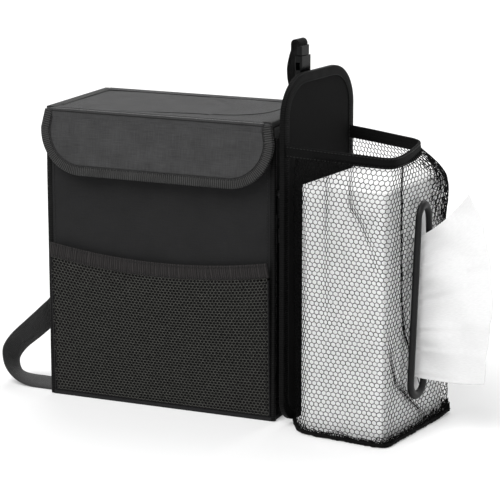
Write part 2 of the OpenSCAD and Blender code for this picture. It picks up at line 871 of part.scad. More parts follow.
// Stiff webbing round the top of the netted pocket
module rim_band() {
    color("#111111")
        in_holder()
            difference() {
                translate([0, 0, rim_top - rim_h])
                    rotate([0, rim_slope, 0])
                        translate([0, 0, -0.2]) linear_extrude(rim_h)
                            difference() {
                                polygon(concat(
                                    [[-3 * past, rim_start]],
                                    rim_path(0),
                                    [[-3 * past, board_w - rim_finish]]
                                ));
                                polygon(concat(
                                    [[-6 * past, rim_start + rim_t]],
                                    rim_path(-rim_t),
                                    [[-6 * past, board_w - rim_finish - rim_t]]
                                ));
                            }
                translate([-30, -past, 0]) cube([30, board_w + 2 * past, 2 * rim_top]);
            }
}

// A moulded oval ring that finishes the slot in the netting
module slot_ring() {
    color("#3a3a3a")
        in_holder()
            translate([ring_n, ring_s, ring_z])
                rotate([-ring_lean, 0, 0])
                    difference() {
                        union() {
                            for (side = [-1, 1]) {
                                translate([0, side * ring_bend, -ring_straight / 2])
                                    cylinder(r = ring_r, h = ring_straight);
                                translate([0, 0, side * ring_straight / 2])
                                    rotate([90, 0, 90])
                                        rotate([0, 0, 90 - side * 90])
                                            rotate_extrude(angle = 180) translate([ring_bend, 0]) circle(ring_r);
                            }
                        }
                        translate([-2 * ring_r - (ring_n - net_n), -ring_w, -ring_len])
                            cube([2 * ring_r, 2 * ring_w, 2 * ring_len]);
                    }
}

module tissue_box() {
    color("#e8e8e8")
        in_holder()
            difference() {
                translate([box_gap + box_t / 2, box_s + box_w / 2, box_z])
                    linear_extrude(box_h) round_plan(box_t, box_w, box_r);
                on_plane(box_n - 3, 3 + past)
                    translate([ring_s, ring_z]) rotate(-ring_lean) slot_shape(-3);
            }
}

// The drawn tissue fans out of the slot in soft folds
tissue_rows = 12;
tissue_cols = 24;
// Start of the tissue inside the carton, its distance ahead of the ring's middle, and the swing of its folds
tissue_sunk = 2;
tissue_set = 4;
tissue_wave = 12;
function tissue_z(v, u) =
    let (inner = ring_z + ring_len * (0.71 * v - 0.355))
    let (outer = lookup(v, [[0, -0.375], [0.2, -0.2], [0.45, 0.05], [0.65, 0.25], [0.85, 0.45], [1, 0.577]]))
    inner * (1 - u) + (ring_z + ring_len * outer) * u;
function tissue_n(v, u) =
    let (outer = tissue_reach * lookup(v, [[0, 0.93], [0.2, 0.99], [0.45, 1], [0.65, 0.93], [0.85, 0.76], [1, 0.54]]))
    box_n - tissue_sunk + (outer + net_gap + tissue_sunk) * u;
function tissue_s(v, u) =
    ring_s - tissue_set + (tissue_z(v, u) - ring_z) * tan(ring_lean) + tissue_wave * u * u * sin(v * 900 + 40 * u);
function tissue_side(side) = [for (j = [0 : tissue_rows]) for (i = [0 : tissue_cols])
    let (u = j / tissue_rows)
    let (v = i / tissue_cols)
    [tissue_n(v, u), tissue_s(v, u) + side * tissue_t / 2, tissue_z(v, u)]];

module tissue_sheet() {
    span = tissue_cols + 1;
    size = span * (tissue_rows + 1);
    grid = [for (j = [0 : tissue_rows - 1]) for (i = [0 : tissue_cols - 1]) j * span + i];
    front = [for (a = grid) each [[a, a + span, a + 1], [a + 1, a + span, a + span + 1]]];
    back = [for (f = front) [f[0] + size, f[2] + size, f[1] + size]];
    rim = concat(
        [for (i = [0 : tissue_cols]) i],
        [for (j = [1 : tissue_rows]) j * span + tissue_cols],
        [for (i = [tissue_cols - 1 : -1 : 0]) tissue_rows * span + i],
        [for (j = [tissue_rows - 1 : -1 : 1]) j * span]
    );
    edge = [for (i = [0 : len(rim) - 1])
        let (a = rim[i])
        let (b = rim[(i + 1) % len(rim)])
        each [[a, b, b + size], [a, b + size, a + size]]];
    color("white")
        in_holder() polyhedron(concat(tissue_side(-1), tissue_side(1)), concat(front, back, edge));
}

// Stands a strip drawn off the board and up, with the width of the hanging strap
module hanging(line) {
    translate([0, hang_s + hang_w / 2, 0]) rotate([90, 0, 0]) linear_extrude(hang_w) polygon(strip(line, hang_t));
}

module strap_anchor() {
    face = -board_t - hang_t / 2;
    color("#222222")
        in_holder() hanging([
            [face, socket_z - anchor_len],
            [face, socket_z - anchor_lift],
            [buckle_n, socket_z - strap_entry],
            [buckle_n, socket_z]
        ]);
}

module strap_return() {
    face = -board_t - 1.5 * hang_t - seat_gap / 2;
    color("#222222")
        in_holder() hanging([
            [face, socket_z - return_len],
            [face, socket_z - return_lift],
            [strand_n, socket_z],
            [strand_n, fold_low]
        ]);
}

// The webbing's fold above the buckle
module strap_fold() {
    middle = (buckle_n + strand_n) / 2;
    color("#222222")
        in_holder() hanging(concat(
            [[strand_n, fold_low]],
            arc(middle, plug_top + 1.5, bend_r, 180, 0, 10),
            [[buckle_n, plug_top]]
        ));
}

// Wall of the buckle's socket, depth of its cavity, and thickness of the prongs inside it
buckle_wall = 2.5;
buckle_cavity = 4.6;
prong_t = 3.6;
// A block of the buckle's outline and thickness between two heights
module buckle_block(low, high, w) {
    r = 2;
    translate([buckle_n, hang_s, low]) linear_extrude(high - low) round_plan(buckle_t, w, r);
}

// The socket half: a flat box, open at its top and at its side windows
module buckle_socket() {
    color("#101010")
        in_holder()
            difference() {
                buckle_block(socket_z, socket_top, buckle_w);
                translate([
                    buckle_n - buckle_cavity / 2,
                    hang_s - buckle_w / 2 + buckle_wall,
                    socket_top - prong_len - buckle_wall + 1
                ])
                    cube([buckle_cavity, buckle_w - 2 * buckle_wall, prong_len + buckle_wall - 1 + past]);
                for (side = [-1, 1]) {
                    translate([
                        buckle_n - buckle_cavity / 2,
                        hang_s + side * buckle_w / 2 - 1.6 * buckle_wall,
                        socket_top - prong_len + 1
                    ])
                        cube([buckle_cavity, 3.2 * buckle_wall, prong_len / 2]);
                }
            }
}

// The plug half: a head with two sprung prongs and a middle blade
module buckle_plug() {
    outer = buckle_w / 2 - buckle_wall - seat_gap;
    prong_w = 3.5;
    color("#101010")
        in_holder() {
            buckle_block(plug_low, plug_top, buckle_w);
            for (side = [-1, 1]) {
                translate([buckle_n - prong_t / 2, hang_s, plug_low])
                    rotate([90, 0, 90])
                        linear_extrude(prong_t)
                            polygon([
                                [side * (outer - 1 - prong_w), 0],
                                [side * (outer - 1), 0],
                                [side * (outer - 1), -prong_len / 2],
                                [side * outer, -prong_len / 2 - 1],
                                [side * (outer - 1.5), -prong_len],
                                [side * (outer - 1 - prong_w), -prong_len]
                            ]);
            }
            translate([buckle_n - prong_t / 2, hang_s - prong_w / 2, plug_low - 0.8 * prong_len])
                cube([prong_t, prong_w, 0.8 * prong_len]);
        }
}

front_wall();
back_wall();
left_wall();
right_wall();
base_panel();
liner();
corner_seam_front_left();
corner_seam_front_right();
corner_seam_back_left();
corner_seam_back_right();
rim_tape();
foot_tape();
hinge_strip();
loop_patch();
front_pocket();
front_pocket_band();
left_pocket();
left_pocket_band();
right_pocket();
right_pocket_band();
left_tab();
right_tab();
side_strap();
lid_panel();
lid_tape_left();
lid_tape_right();
flap_panel();
flap_tape();
hook_patch();
link_strap();
holder_board();
board_tape();
net_front();
net_outer();
net_back();
net_base();
net_shoulder();
net_hem();
rim_band();
slot_ring();
tissue_box();
tissue_sheet();
strap_anchor();
strap_return();
buckle_socket();
buckle_plug();
strap_fold();
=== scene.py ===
"""Looks of the car trash bin: cloth, netting, tape, webbing, stitches, carton and tissue."""
import math

import bmesh
import bpy
import numpy as np
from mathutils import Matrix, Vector, noise


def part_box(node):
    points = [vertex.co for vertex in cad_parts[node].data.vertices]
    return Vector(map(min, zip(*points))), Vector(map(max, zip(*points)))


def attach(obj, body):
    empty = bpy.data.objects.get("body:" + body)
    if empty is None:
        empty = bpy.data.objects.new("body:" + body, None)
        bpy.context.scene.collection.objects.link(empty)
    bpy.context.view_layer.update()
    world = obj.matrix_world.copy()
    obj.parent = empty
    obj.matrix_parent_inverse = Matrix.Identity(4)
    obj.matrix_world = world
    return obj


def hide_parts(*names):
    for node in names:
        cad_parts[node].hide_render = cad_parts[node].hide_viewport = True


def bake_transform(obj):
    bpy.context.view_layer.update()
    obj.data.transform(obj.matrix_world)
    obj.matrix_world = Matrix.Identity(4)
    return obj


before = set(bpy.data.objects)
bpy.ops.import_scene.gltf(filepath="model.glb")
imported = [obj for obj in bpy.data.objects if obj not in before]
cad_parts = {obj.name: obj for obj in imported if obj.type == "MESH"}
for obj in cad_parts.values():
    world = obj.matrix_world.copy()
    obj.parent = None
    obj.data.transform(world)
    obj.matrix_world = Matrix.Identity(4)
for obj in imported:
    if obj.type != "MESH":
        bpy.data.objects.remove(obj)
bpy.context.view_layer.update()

bl_info = {
    "name": "Car trash bin",
    "version": (1, 0, 0),
    "blender": (4, 5, 0),
    "location": "View3D > Sidebar > Trash Bin",
    "description": "Builds the cloth, netting, straps and tissue of a car trash bin on its packed part",
    "category": "Object",
}

MM = 0.001


def node_box(node):
    """Lowest and highest corner of a node of the part, in millimetres."""
    low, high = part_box(node)
    return np.array(low) * 1000, np.array(high) * 1000


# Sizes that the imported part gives, in millimetres
HALF_W = node_box("right_wall")[1][0]
HALF_D = -node_box("front_wall")[0][1]
WALL_TOP = node_box("front_wall")[1][2]
RIM_LOW = node_box("rim_tape")[0][2]
RIM_TOP = node_box("rim_tape")[1][2]
LID_TOP = node_box("lid_panel")[1][2]
LID_MIDDLE = (node_box("lid_panel")[0][2] + LID_TOP) / 2
LID_FRONT = node_box("lid_panel")[0][1]
LID_BACK = node_box("lid_panel")[1][1]
FLAP_WIDE = node_box("flap_tape")[1][0]
POCKET_HALF = node_box("front_pocket")[1][0]
NET_TOP = node_box("net_front")[1][2]
BOARD_TOP = node_box("board_tape")[1][2]
BOARD_FOOT = node_box("board_tape")[0][2]

# The flap, which hangs from its fold and leans out
FOLD_Y = LID_FRONT - 1.6
FOLD_Z = LID_TOP - 1.3
FLAP_FRONT = FOLD_Y - 1.3
FLAP_BACK = FOLD_Y + 1.3
FLAP_LOW = LID_TOP - 63
FLAP_R = 44.0
FLAP_LEAN = math.radians(7.5)
LEAN_COS, LEAN_SIN = math.cos(FLAP_LEAN), math.sin(FLAP_LEAN)

# The holder's own frame: n off the board, s along it from its front edge, z up
HOLDER_X = HALF_W + 17.7
HOLDER_Y = -HALF_D - 17.7
HOLDER_TURN = math.radians(7.4)
TURN_COS, TURN_SIN = math.cos(HOLDER_TURN), math.sin(HOLDER_TURN)
BOARD_W = 131.0
BOARD_T = 4.0
BOARD_R = 40.0
BOARD_LOW_R = 24.0
NET_N = 109.2
NET_S0 = -4.2
NET_S1 = 130.2
RIM_H = 12.0
RIM_SLOPE = math.radians(2.4)
RIM_AT = 268.5
RING_N = 111.24
RING_S = 59.5
RING_Z = 125.5
RING_BEND = 13.1
RING_STRAIGHT = 151.5
RING_LEAN = math.radians(4)
BUCKLE_SHIFT = 2.8
BUCKLE_N = -9.75
STRAND_N = -17.5
SOCKET_Z = 322.0
HANG_S = 56.0
HANG_W = 16.0
HANG_T = 1.4


def leaned(p):
    """A place on the flap, turned out about the flap's fold as the flap leans."""
    dy, dz = p[1] - FOLD_Y, p[2] - FOLD_Z
    return np.array((p[0], FOLD_Y + dy * LEAN_COS + dz * LEAN_SIN, FOLD_Z - dy * LEAN_SIN + dz * LEAN_COS))


def on_holder(n, s, z):
    """A place on the holder in the row frame, in millimetres."""
    return np.array((HOLDER_X + n * TURN_COS + s * TURN_SIN, HOLDER_Y - n * TURN_SIN + s * TURN_COS, z))


def off_holder(x, y):
    """The holder's n and s of a place in the row frame, in millimetres."""
    dx, dy = x - HOLDER_X, y - HOLDER_Y
    return dx * TURN_COS - dy * TURN_SIN, dx * TURN_SIN + dy * TURN_COS


def rise(value, start, span):
    """0 up to start, then climbing to 1 over a span."""
    return min(1.0, max(0.0, (value - start) / span))


def crown(share, power):
    """1 in the middle of a face, falling to 0 where share reaches 1 or -1."""
    return max(0.0, 1 - share ** power)


def hump(value, middle, width):
    """A smooth hump of height 1."""
    return math.exp(-((value - middle) / width) ** 2)


# ---------------------------------------------------------------- settings

class ClothSettings(bpy.types.PropertyGroup):
    """Colours and thread of the cloth pieces"""
    lid_colour: bpy.props.FloatVectorProperty(
        name="Lid cloth", description="Colour of the lid and flap", subtype="COLOR", size=3,
        default=(0.0400, 0.0400, 0.0407))
    wall_colour: bpy.props.FloatVectorProperty(
        name="Wall cloth", description="Colour of the bin's walls", subtype="COLOR", size=3,
        default=(0.0145, 0.0145, 0.0149))
    tape_colour: bpy.props.FloatVectorProperty(
        name="Binding tape", description="Colour of the ribbed tape", subtype="COLOR", size=3,
        default=(0.024, 0.024, 0.0236))
    board_colour: bpy.props.FloatVectorProperty(
        name="Board cloth", description="Colour of the holder board", subtype="COLOR", size=3,
        default=(0.0032, 0.0032, 0.0032))
    thread: bpy.props.FloatProperty(
        name="Thread pitch", description="Distance between the threads of the weave", unit="LENGTH",
        default=0.0007)


class NettingSettings(bpy.types.PropertyGroup):
    """Mesh of the netting"""
    cell: bpy.props.FloatProperty(
        name="Cell width", description="Distance between gaps of one row", unit="LENGTH", default=0.0050)
    row: bpy.props.FloatProperty(
        name="Row spacing", description="Distance between neighbouring rows", unit="LENGTH", default=0.0040)
    strand: bpy.props.FloatProperty(
        name="Strand radius", description="Radius of the holder's strands", unit="LENGTH", default=0.00039)
    pocket_cell: bpy.props.FloatProperty(
        name="Pocket cell width", description="Cell width of the pockets' knit", unit="LENGTH",
        default=0.0036)
    pocket_row: bpy.props.FloatProperty(
        name="Pocket row spacing", description="Row spacing of the pockets' knit", unit="LENGTH",
        default=0.0027)
    pocket_strand: bpy.props.FloatProperty(
        name="Pocket strand radius", description="Radius of the pocket's strands", unit="LENGTH",
        default=0.00050)


class StitchSettings(bpy.types.PropertyGroup):
    """Sewing"""
    pitch: bpy.props.FloatProperty(
        name="Stitch pitch", description="Distance from stitch to stitch", unit="LENGTH", default=0.0034)
    length: bpy.props.FloatProperty(
        name="Stitch length", description="Length of one stitch", unit="LENGTH", default=0.0027)
    width: bpy.props.FloatProperty(
        name="Thread width", description="Width of the sewing thread", unit="LENGTH", default=0.0008)


class StageSettings(bpy.types.PropertyGroup):
    """Lamps of the studio"""
    key: bpy.props.FloatProperty(
        name="Key lamp", description="Strength of the soft lamp at the front left", default=2.75)
    top: bpy.props.FloatProperty(
        name="Top lamp", description="Strength of the soft lamp overhead", default=1.56)
    fill: bpy.props.FloatProperty(
        name="Fill lamp", description="Strength of the soft lamp at the right", default=0.42)
    world: bpy.props.FloatProperty(
        name="Room light", description="Strength of the even light from all round", default=0.30)


# ---------------------------------------------------------------- mesh building

def new_object(name, data):
    """An object in the scene."""
    obj = bpy.data.objects.new(name, data)
    bpy.context.scene.collection.objects.link(obj)
    return obj


def make_piece(name, points, faces, uvs=None, closed=True):
    """A smooth mesh piece from points in millimetres."""
    mesh = bpy.data.meshes.new(name)
    mesh.from_pydata((np.asarray(points, float) * MM).tolist(), [], faces)
    if uvs is not None:
        layer = mesh.uv_layers.new(name="UVMap")
        corners = np.zeros(len(mesh.loops), np.int32)
        mesh.loops.foreach_get("vertex_index", corners)
        layer.data.foreach_set("uv", (np.asarray(uvs, float) * MM)[corners].astype(np.float32).ravel())
    if closed:
        work = bmesh.new()
        work.from_mesh(mesh)
        bmesh.ops.recalc_face_normals(work, faces=work.faces)
        work.to_mesh(mesh)
        work.free()
    mesh.polygons.foreach_set("use_smooth", np.ones(len(mesh.polygons), bool))
    mesh.update()
    obj = new_object(name, mesh)
    return obj


def finish_piece(obj, finish, body="bin", nodes=()):
    """Gives a piece its finish, its body and the nodes of the part that it stands for."""
    obj.data.materials.clear()
    obj.data.materials.append(FINISHES[finish])
    if nodes:
        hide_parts(*nodes)
    if body:
        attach(obj, body)
    return obj


def ripple(x, y, z, size, seed=0.0):
    """Soft noise from -1 to 1, the same on every run."""
    return noise.noise(Vector((x / size + seed, y / size + 1.7 * seed, z / size - seed)))


def line_lengths(line):
    """How far each point of a line lies along it."""
    return np.concatenate(([0], np.cumsum(np.linalg.norm(np.diff(line, axis=0), axis=1))))


def alike(direction, path):
    """The same direction at every point of a path."""
    return np.tile(direction, (len(path), 1))


def round_section(a, b, count):
    """An oval section of a given number of points."""
    turns = np.linspace(0, 2 * math.pi, count, endpoint=False)
    return [(a * math.cos(t), b * math.sin(t)) for t in turns]


def loft(name, rings, closed_path=False, uvs=None):
    """Joins closed rings of points into one skin, with its ends closed."""
    rings = np.asarray(rings, float)
    count, size = rings.shape[:2]
    faces = []
    for i in range(count if closed_path else count - 1):
        j = (i + 1) % count
        for k in range(size):
            m = (k + 1) % size
            faces.append((i * size + k, i * size + m, j * size + m, j * size + k))
    if not closed_path:
        faces.append(tuple(range(size - 1, -1, -1)))
        faces.append(tuple((count - 1) * size + k for k in range(size)))
    if uvs is None:
        along, around = line_lengths(rings.mean(axis=1)), line_lengths(rings[0])
        uvs = np.stack(np.meshgrid(along, around, indexing="ij"), axis=-1)
    return make_piece(name, rings.reshape(-1, 3), faces, np.asarray(uvs).reshape(-1, 2))


def swept(name, path, inward, outward, profile, closed_path=False):
    """Carries a closed profile of (a, b) along a path, a along inward and b along outward."""
    path, inward, outward = (np.asarray(x, float) for x in (path, inward, outward))
    profile = np.asarray(profile, float)
    rings = path[:, None] + inward[:, None] * profile[None, :, :1] + outward[:, None] * profile[None, :, 1:]
    uvs = np.stack(np.meshgrid(line_lengths(path), line_lengths(profile), indexing="ij"), axis=-1)
    return loft(name, rings, closed_path, uvs)


def smooth_line(points, step):
    """A smooth line through points, cut into even steps. A point of two numbers gets a third of 0."""
    points = np.asarray(points, float)
    if points.shape[1] == 2:
        points = np.column_stack([points, np.zeros(len(points))])
    padded = np.vstack([2 * points[0] - points[1], points, 2 * points[-1] - points[-2]])
    fine = []
    for i in range(1, len(padded) - 2):
        a, b, c, d = padded[i - 1:i + 3]
        for t in np.linspace(0, 1, 24, endpoint=False):
            fine.append(0.5 * (2 * b + (c - a) * t + (2 * a - 5 * b + 4 * c - d) * t ** 2
                               + (3 * b - a - 3 * c + d) * t ** 3))
    fine.append(points[-1])
    return even_line(np.array(fine), step)


def even_line(points, step):
    """The same line with its points at even steps."""
    points = np.asarray(points, float)
    lengths = line_lengths(points[:, :3])
    wanted = np.linspace(0, lengths[-1], max(2, int(round(lengths[-1] / step)) + 1))
    return np.stack([np.interp(wanted, lengths, points[:, k]) for k in range(points.shape[1])], axis=1)


def unit(v):
    """A vector, or each row of vectors, at length 1."""
    return v / np.maximum(np.linalg.norm(v, axis=-1, keepdims=True), 1e-9)


def outline_normals(loop, closed):
    """Outward directions of a flat counter-clockwise line."""
    ahead, behind = np.roll(loop, -1, axis=0), np.roll(loop, 1, axis=0)
    if not closed:
        ahead[-1], behind[0] = loop[-1], loop[0]
    t = unit(ahead - behind)
    return np.stack([t[:, 1], -t[:, 0]], axis=1)


def panel(name, rows, cols, place, front, back, round_r, dome=None, back_dome=0.0):
    """A board covered in cloth: two gridded faces and a round edge. rows hold (height, left, right)."""
    grid = []
    for z, left, right in rows:
        grid.append([(left + (right - left) * i / cols, z) for i in range(cols + 1)])
    grid = np.array(grid)
    count = len(rows)
    border = [(0, i) for i in range(cols + 1)] + [(j, cols) for j in range(1, count)]
    border += [(count - 1, i) for i in range(cols - 1, -1, -1)] + [(j, 0) for j in range(count - 2, 0, -1)]
    loop = np.array([grid[j, i] for j, i in border])
    normal = outline_normals(loop, True)
    middle, half = (front + back) / 2, (front - back) / 2
    points, uvs = [], []
    for side, depth in ((1, front), (-1, back)):
        for j in range(count):
            for i in range(cols + 1):
                x, z = grid[j, i]
                swell = dome(x, z) if dome else 0.0
                extra = swell if side > 0 else swell - swell * (1 - back_dome)
                points.append(place(x, z, depth + extra))
                uvs.append((x, z))
    layer = count * (cols + 1)
    steps = 5
    for k in range(1, steps):
        angle = math.pi * k / steps
        for (x, z), (nx, nz) in zip(loop, normal):
            reach = round_r * math.sin(angle)
            points.append(place(x + nx * reach, z + nz * reach, middle + half * math.cos(angle)))
            uvs.append((x + nx * reach, z + nz * reach))
    faces = []
    for j in range(count - 1):
        for i in range(cols):
            a = j * (cols + 1) + i
            faces.append((a, a + 1, a + cols + 2, a + cols + 1))
            faces.append((layer + a, layer + a + cols + 1, layer + a + cols + 2, layer + a + 1))
    front_ring = [j * (cols + 1) + i for j, i in border]
    chain = [front_ring]
    for k in range(steps - 1):
        chain.append([2 * layer + k * len(border) + m for m in range(len(border))])
    chain.append([layer + v for v in front_ring])
    for a, b in zip(chain, chain[1:]):
        for m in range(len(border)):
            n = (m + 1) % len(border)
            faces.append((a[m], b[m], b[n], a[n]))
    return make_piece(name, points, faces, uvs)


def corner_rows(low, high, low_r, high_r, left, right, step=6.0):
    """Rows of a board whose four corners are round."""
    rows = [(low, 0.0)]
    if low_r > 0:
        turns = [math.radians(90 * i / 8) for i in range(9)]
        rows = [(low + low_r * (1 - math.cos(a)), low_r * (1 - math.sin(a))) for a in turns]
    straight = high - high_r - low - low_r
    middle = int(max(1, straight / step))
    for i in range(1, middle):
        rows.append((low + low_r + straight * i / middle, 0.0))
    if high_r > 0:
        turns = [math.radians(90 * i / 12) for i in range(13)]
        rows += [(high - high_r + high_r * math.sin(a), high_r * (1 - math.cos(a))) for a in turns]
    else:
        rows.append((high, 0.0))
    return [(z, left + cut, right - cut) for z, cut in rows]


def ribbon(name, path, across, facing, width, thick, edge=None):
    """A flat strap along a path, its edges rounded."""
    edge = edge or thick * 0.45
    h, t = width / 2, thick / 2
    profile = [(-h, -t + edge), (-h + edge, -t), (-h * 0.5, -t), (0, -t), (h * 0.5, -t), (h - edge, -t),
               (h, -t + edge)]
    profile += [(h, t - edge), (h - edge, t), (h * 0.5, t), (0, t), (-h * 0.5, t), (-h + edge, t),
                (-h, t - edge)]
    path = np.asarray(path, float)
    obj = swept(name, path, np.broadcast_to(across, path.shape), facing, profile)
    # one even map on both faces, so that the weave lies straight along the strap
    layer = obj.data.uv_layers["UVMap"]
    size = len(profile)
    steps = line_lengths(path)
    corners = np.zeros(len(obj.data.loops), np.int32)
    obj.data.loops.foreach_get("vertex_index", corners)
    wide = np.array([p[0] for p in profile])
    flat = np.stack([steps[corners // size], wide[corners % size]], axis=1) * MM
    layer.data.foreach_set("uv", flat.astype(np.float32).ravel())
    return obj


def facing_of(path, across):
    """The direction square to a strap's path and to its width."""
    path = np.asarray(path, float)
    t = np.gradient(path, axis=0)
    return unit(np.cross(np.broadcast_to(across, path.shape), t))


def tape_profile(width, front, back, thick=0.8, edge=0.8):
    """Section of a tape folded over an edge: a runs inward from the edge, b from back to front."""
    return [
        (width, front), (width, front + thick * 0.75), (width - 0.4, front + thick),
        (width * 0.5, front + thick * 1.12), (0.6, front + thick), (-edge * 0.7, front + thick * 0.55),
        (-edge, front - 0.4), (-edge, back + 0.4), (-edge * 0.7, back - thick * 0.55), (0.6, back - thick),
        (width * 0.5, back - thick * 1.12), (width - 0.4, back - thick), (width, back - thick * 0.75),
        (width, back), (0.5, back + 0.05), (0.3, back + 0.4), (0.3, front - 0.4), (0.5, front - 0.05),
    ]


def sewn_line(name, path, inward, outward, size, body, finish="thread"):
    """A raised line of thread or piping along a path; the same makes the cords of painted glint and painted
    crease shade.
    """
    obj = swept(name, path, inward, outward, round_section(*size))
    return finish_piece(obj, finish, body)


# ---------------------------------------------------------------- finishes

class Shader:
    """Builds one finish from nodes."""

    def __init__(self, name, colour, rough=0.8, sheen=0.0, spec=0.4):
        self.colour = colour
        self.material = bpy.data.materials.new(name)
        self.material.use_nodes = True
        self.tree = self.material.node_tree
        self.nodes, self.links = self.tree.nodes, self.tree.links
        self.surface = self.nodes["Principled BSDF"]
        self.surface.inputs["Base Color"].default_value = (*colour, 1)
        self.surface.inputs["Roughness"].default_value = rough
        self.surface.inputs["Specular IOR Level"].default_value = spec
        self.surface.inputs["Sheen Weight"].default_value = sheen
        self.surface.inputs["Sheen Roughness"].default_value = 0.45
        self.material.diffuse_color = (*colour, 1)

    def add(self, kind, **settings):
        """Adds a node with its settings."""
        node = self.nodes.new(kind)
        for key, value in settings.items():
            setattr(node, key, value)
        return node

    def put(self, node, name, value):
        """Gives one input of a node a value or another node's output."""
        socket = node.inputs[name]
        if isinstance(value, bpy.types.NodeSocket):
            self.links.new(value, socket)
        else:
            socket.default_value = value

    def math(self, operation, a, b=None, clamp=False):
        """The result of one sum."""
        node = self.add("ShaderNodeMath", operation=operation, use_clamp=clamp)
        self.put(node, 0, a)
        if b is not None:
            self.put(node, 1, b)
        return node.outputs[0]

    def map_axes(self, source="UV"):
        """The two directions of the piece's own map, or three of the object."""
        place = self.add("ShaderNodeTexCoord")
        split = self.add("ShaderNodeSeparateXYZ")
        self.links.new(place.outputs[source], split.inputs[0])
        self.place = place.outputs[source]
        return split.outputs

    def noise(self, scale, detail=2.0, stretch=None):
        """Soft noise over the piece, at its own scale in each direction where stretch says so."""
        source = self.place
        if stretch:
            mapping = self.add("ShaderNodeMapping")
            self.links.new(source, mapping.inputs["Vector"])
            mapping.inputs["Scale"].default_value = stretch
            source = mapping.outputs[0]
        node = self.add("ShaderNodeTexNoise")
        self.links.new(source, node.inputs["Vector"])
        node.inputs["Scale"].default_value = scale
        node.inputs["Detail"].default_value = detail
        return node.outputs["Fac"]

    def wave(self, value, pitch, phase=0.0):
        """A smooth rise and fall from 0 to 1 every pitch."""
        turns = self.math("MULTIPLY_ADD", value, 2 * math.pi / pitch)
        turns.node.inputs[2].default_value = phase
        return self.half(self.math("SINE", turns))

    def half(self, value):
        """Brings a value between -1 and 1 to between 0 and 1."""
        node = self.add("ShaderNodeMath", operation="MULTIPLY_ADD")
        self.links.new(value, node.inputs[0])
        node.inputs[1].default_value = 0.5
        node.inputs[2].default_value = 0.5
        return node.outputs[0]

    def tint(self, fac, dark, light, low=0.0, high=1.0):
        """Runs from a darker to a lighter share of the colour as a value rises."""
        ramp = self.add("ShaderNodeValToRGB")
        self.links.new(fac, ramp.inputs[0])
        for element, place, share in zip(ramp.color_ramp.elements, (low, high), (dark, light)):
            element.position = place
            element.color = (*(min(1.0, c * share) for c in self.colour), 1)
        self.links.new(ramp.outputs[0], self.surface.inputs["Base Color"])
        return ramp

    def relief(self, height, depth, strength=1.0):
        """Raises and lowers the surface by a height."""
        bump = self.add("ShaderNodeBump")
        bump.inputs["Strength"].default_value = strength
        bump.inputs["Distance"].default_value = depth
        self.links.new(height, bump.inputs["Height"])
        self.links.new(bump.outputs[0], self.surface.inputs["Normal"])
        return bump

    def rough(self, fac, low, high):
        """Runs the roughness from low to high as a value rises."""
        node = self.add("ShaderNodeMapRange")
        self.links.new(fac, node.inputs["Value"])
        node.inputs["To Min"].default_value = low
        node.inputs["To Max"].default_value = high
        self.links.new(node.outputs[0], self.surface.inputs["Roughness"])


def woven_cloth(name, colour, thread, rough=0.75, sheen=0.03, streak=0.22, depth=0.00016):
    """Plain woven cloth: crossing threads, slubs along both of them, and soft mottling."""
    s = Shader(name, colour, rough, sheen, 0.12)
    u, v, _ = s.map_axes()
    weft, warp = s.wave(u, thread), s.wave(v, thread)
    weave = s.math("MULTIPLY", weft, warp)
    slub_up = s.noise(1.0, 2.0, (1300, 70, 1))
    slub_across = s.noise(1.0, 2.0, (70, 1300, 1))
    slubs = s.math("ADD", slub_up, slub_across)
    mottle = s.noise(38.0, 3.0)
    shade = s.math("MULTIPLY_ADD", s.math("ADD", slubs, mottle), 0.33)
    shade.node.inputs[2].default_value = 0.0
    s.tint(shade, 1 - streak, 1 + 1.2 * streak, 0.36, 0.64)
    height = s.math("ADD", weave, s.math("MULTIPLY", slubs, 0.8))
    s.relief(height, depth)
    s.rough(slub_up, rough - 0.08, rough + 0.1)
    return s.material


def ribbed_tape(name, colour, pitch=0.0021, rough=0.62, sheen=0.03, depth=0.0007, spec=0.15):
    """Grosgrain: fine cords across the tape, closed at its edges."""
    s = Shader(name, colour, rough, sheen, spec)
    u = s.map_axes()[0]
    wobble = s.math("MULTIPLY", s.noise(260.0, 1.0), 0.0005)
    ribs = s.wave(s.math("ADD", u, wobble), pitch)
    wear = s.noise(60.0, 3.0)
    # the colour runs with the ribs: painted highlights on their crests and painted shade in the grooves, over
    # random wear
    shade = s.math("ADD", s.math("MULTIPLY", ribs, 0.6), s.math("MULTIPLY", wear, 0.5))
    s.tint(shade, 0.15, 2.1, 0.15, 0.95)
    s.relief(ribs, depth)
    return s.material


def webbing(name, colour, rough=0.6, sheen=0.03, spec=0.2):
    """Strap webbing: cords along its length crossed by slanting ribs."""
    s = Shader(name, colour, rough, sheen, spec)
    u, v, _ = s.map_axes()
    cords = s.wave(v, 0.0016)
    zigzag = s.math("ABSOLUTE", s.math("SUBTRACT", s.wave(v, 0.0064), 0.5))
    slant = s.wave(s.math("ADD", u, s.math("MULTIPLY", zigzag, 0.004)), 0.0017)
    height = s.math("ADD", s.math("MULTIPLY", cords, 0.5), slant)
    worn = s.math("MULTIPLY", s.noise(90.0, 2.0), 0.4)
    # the colour runs with the relief's cords and slanting ribs: painted highlights on the raised weave and
    # painted shade in its grooves, over random wear
    shade = s.math("ADD", s.math("MULTIPLY", height, 0.45), worn)
    s.tint(shade, 0.6, 1.5, 0.2, 0.95)
    s.relief(height, 0.0003)
    return s.material


def elastic(name, colour):
    """Gathered elastic: fine cords down the band with uneven spacing."""
    s = Shader(name, colour, 0.7, 0.03, 0.15)
    u = s.map_axes()[0]
    warped = s.math("ADD", u, s.math("MULTIPLY", s.noise(1.0, 1.0, (210, 25, 1)), 0.004))
    ribs = s.wave(warped, 0.0020)
    uneven = s.noise(1.0, 2.0, (430, 12, 1))
    # the colour runs with the cords and their unevenness, as the relief does: painted highlights on the
    # raised parts and painted shade between them
    shade = s.math("ADD", s.math("MULTIPLY", ribs, 0.5), s.math("MULTIPLY", uneven, 0.6))
    s.tint(shade, 0.45, 1.75, 0.3, 0.85)
    s.relief(s.math("ADD", ribs, uneven), 0.0005)
    return s.material


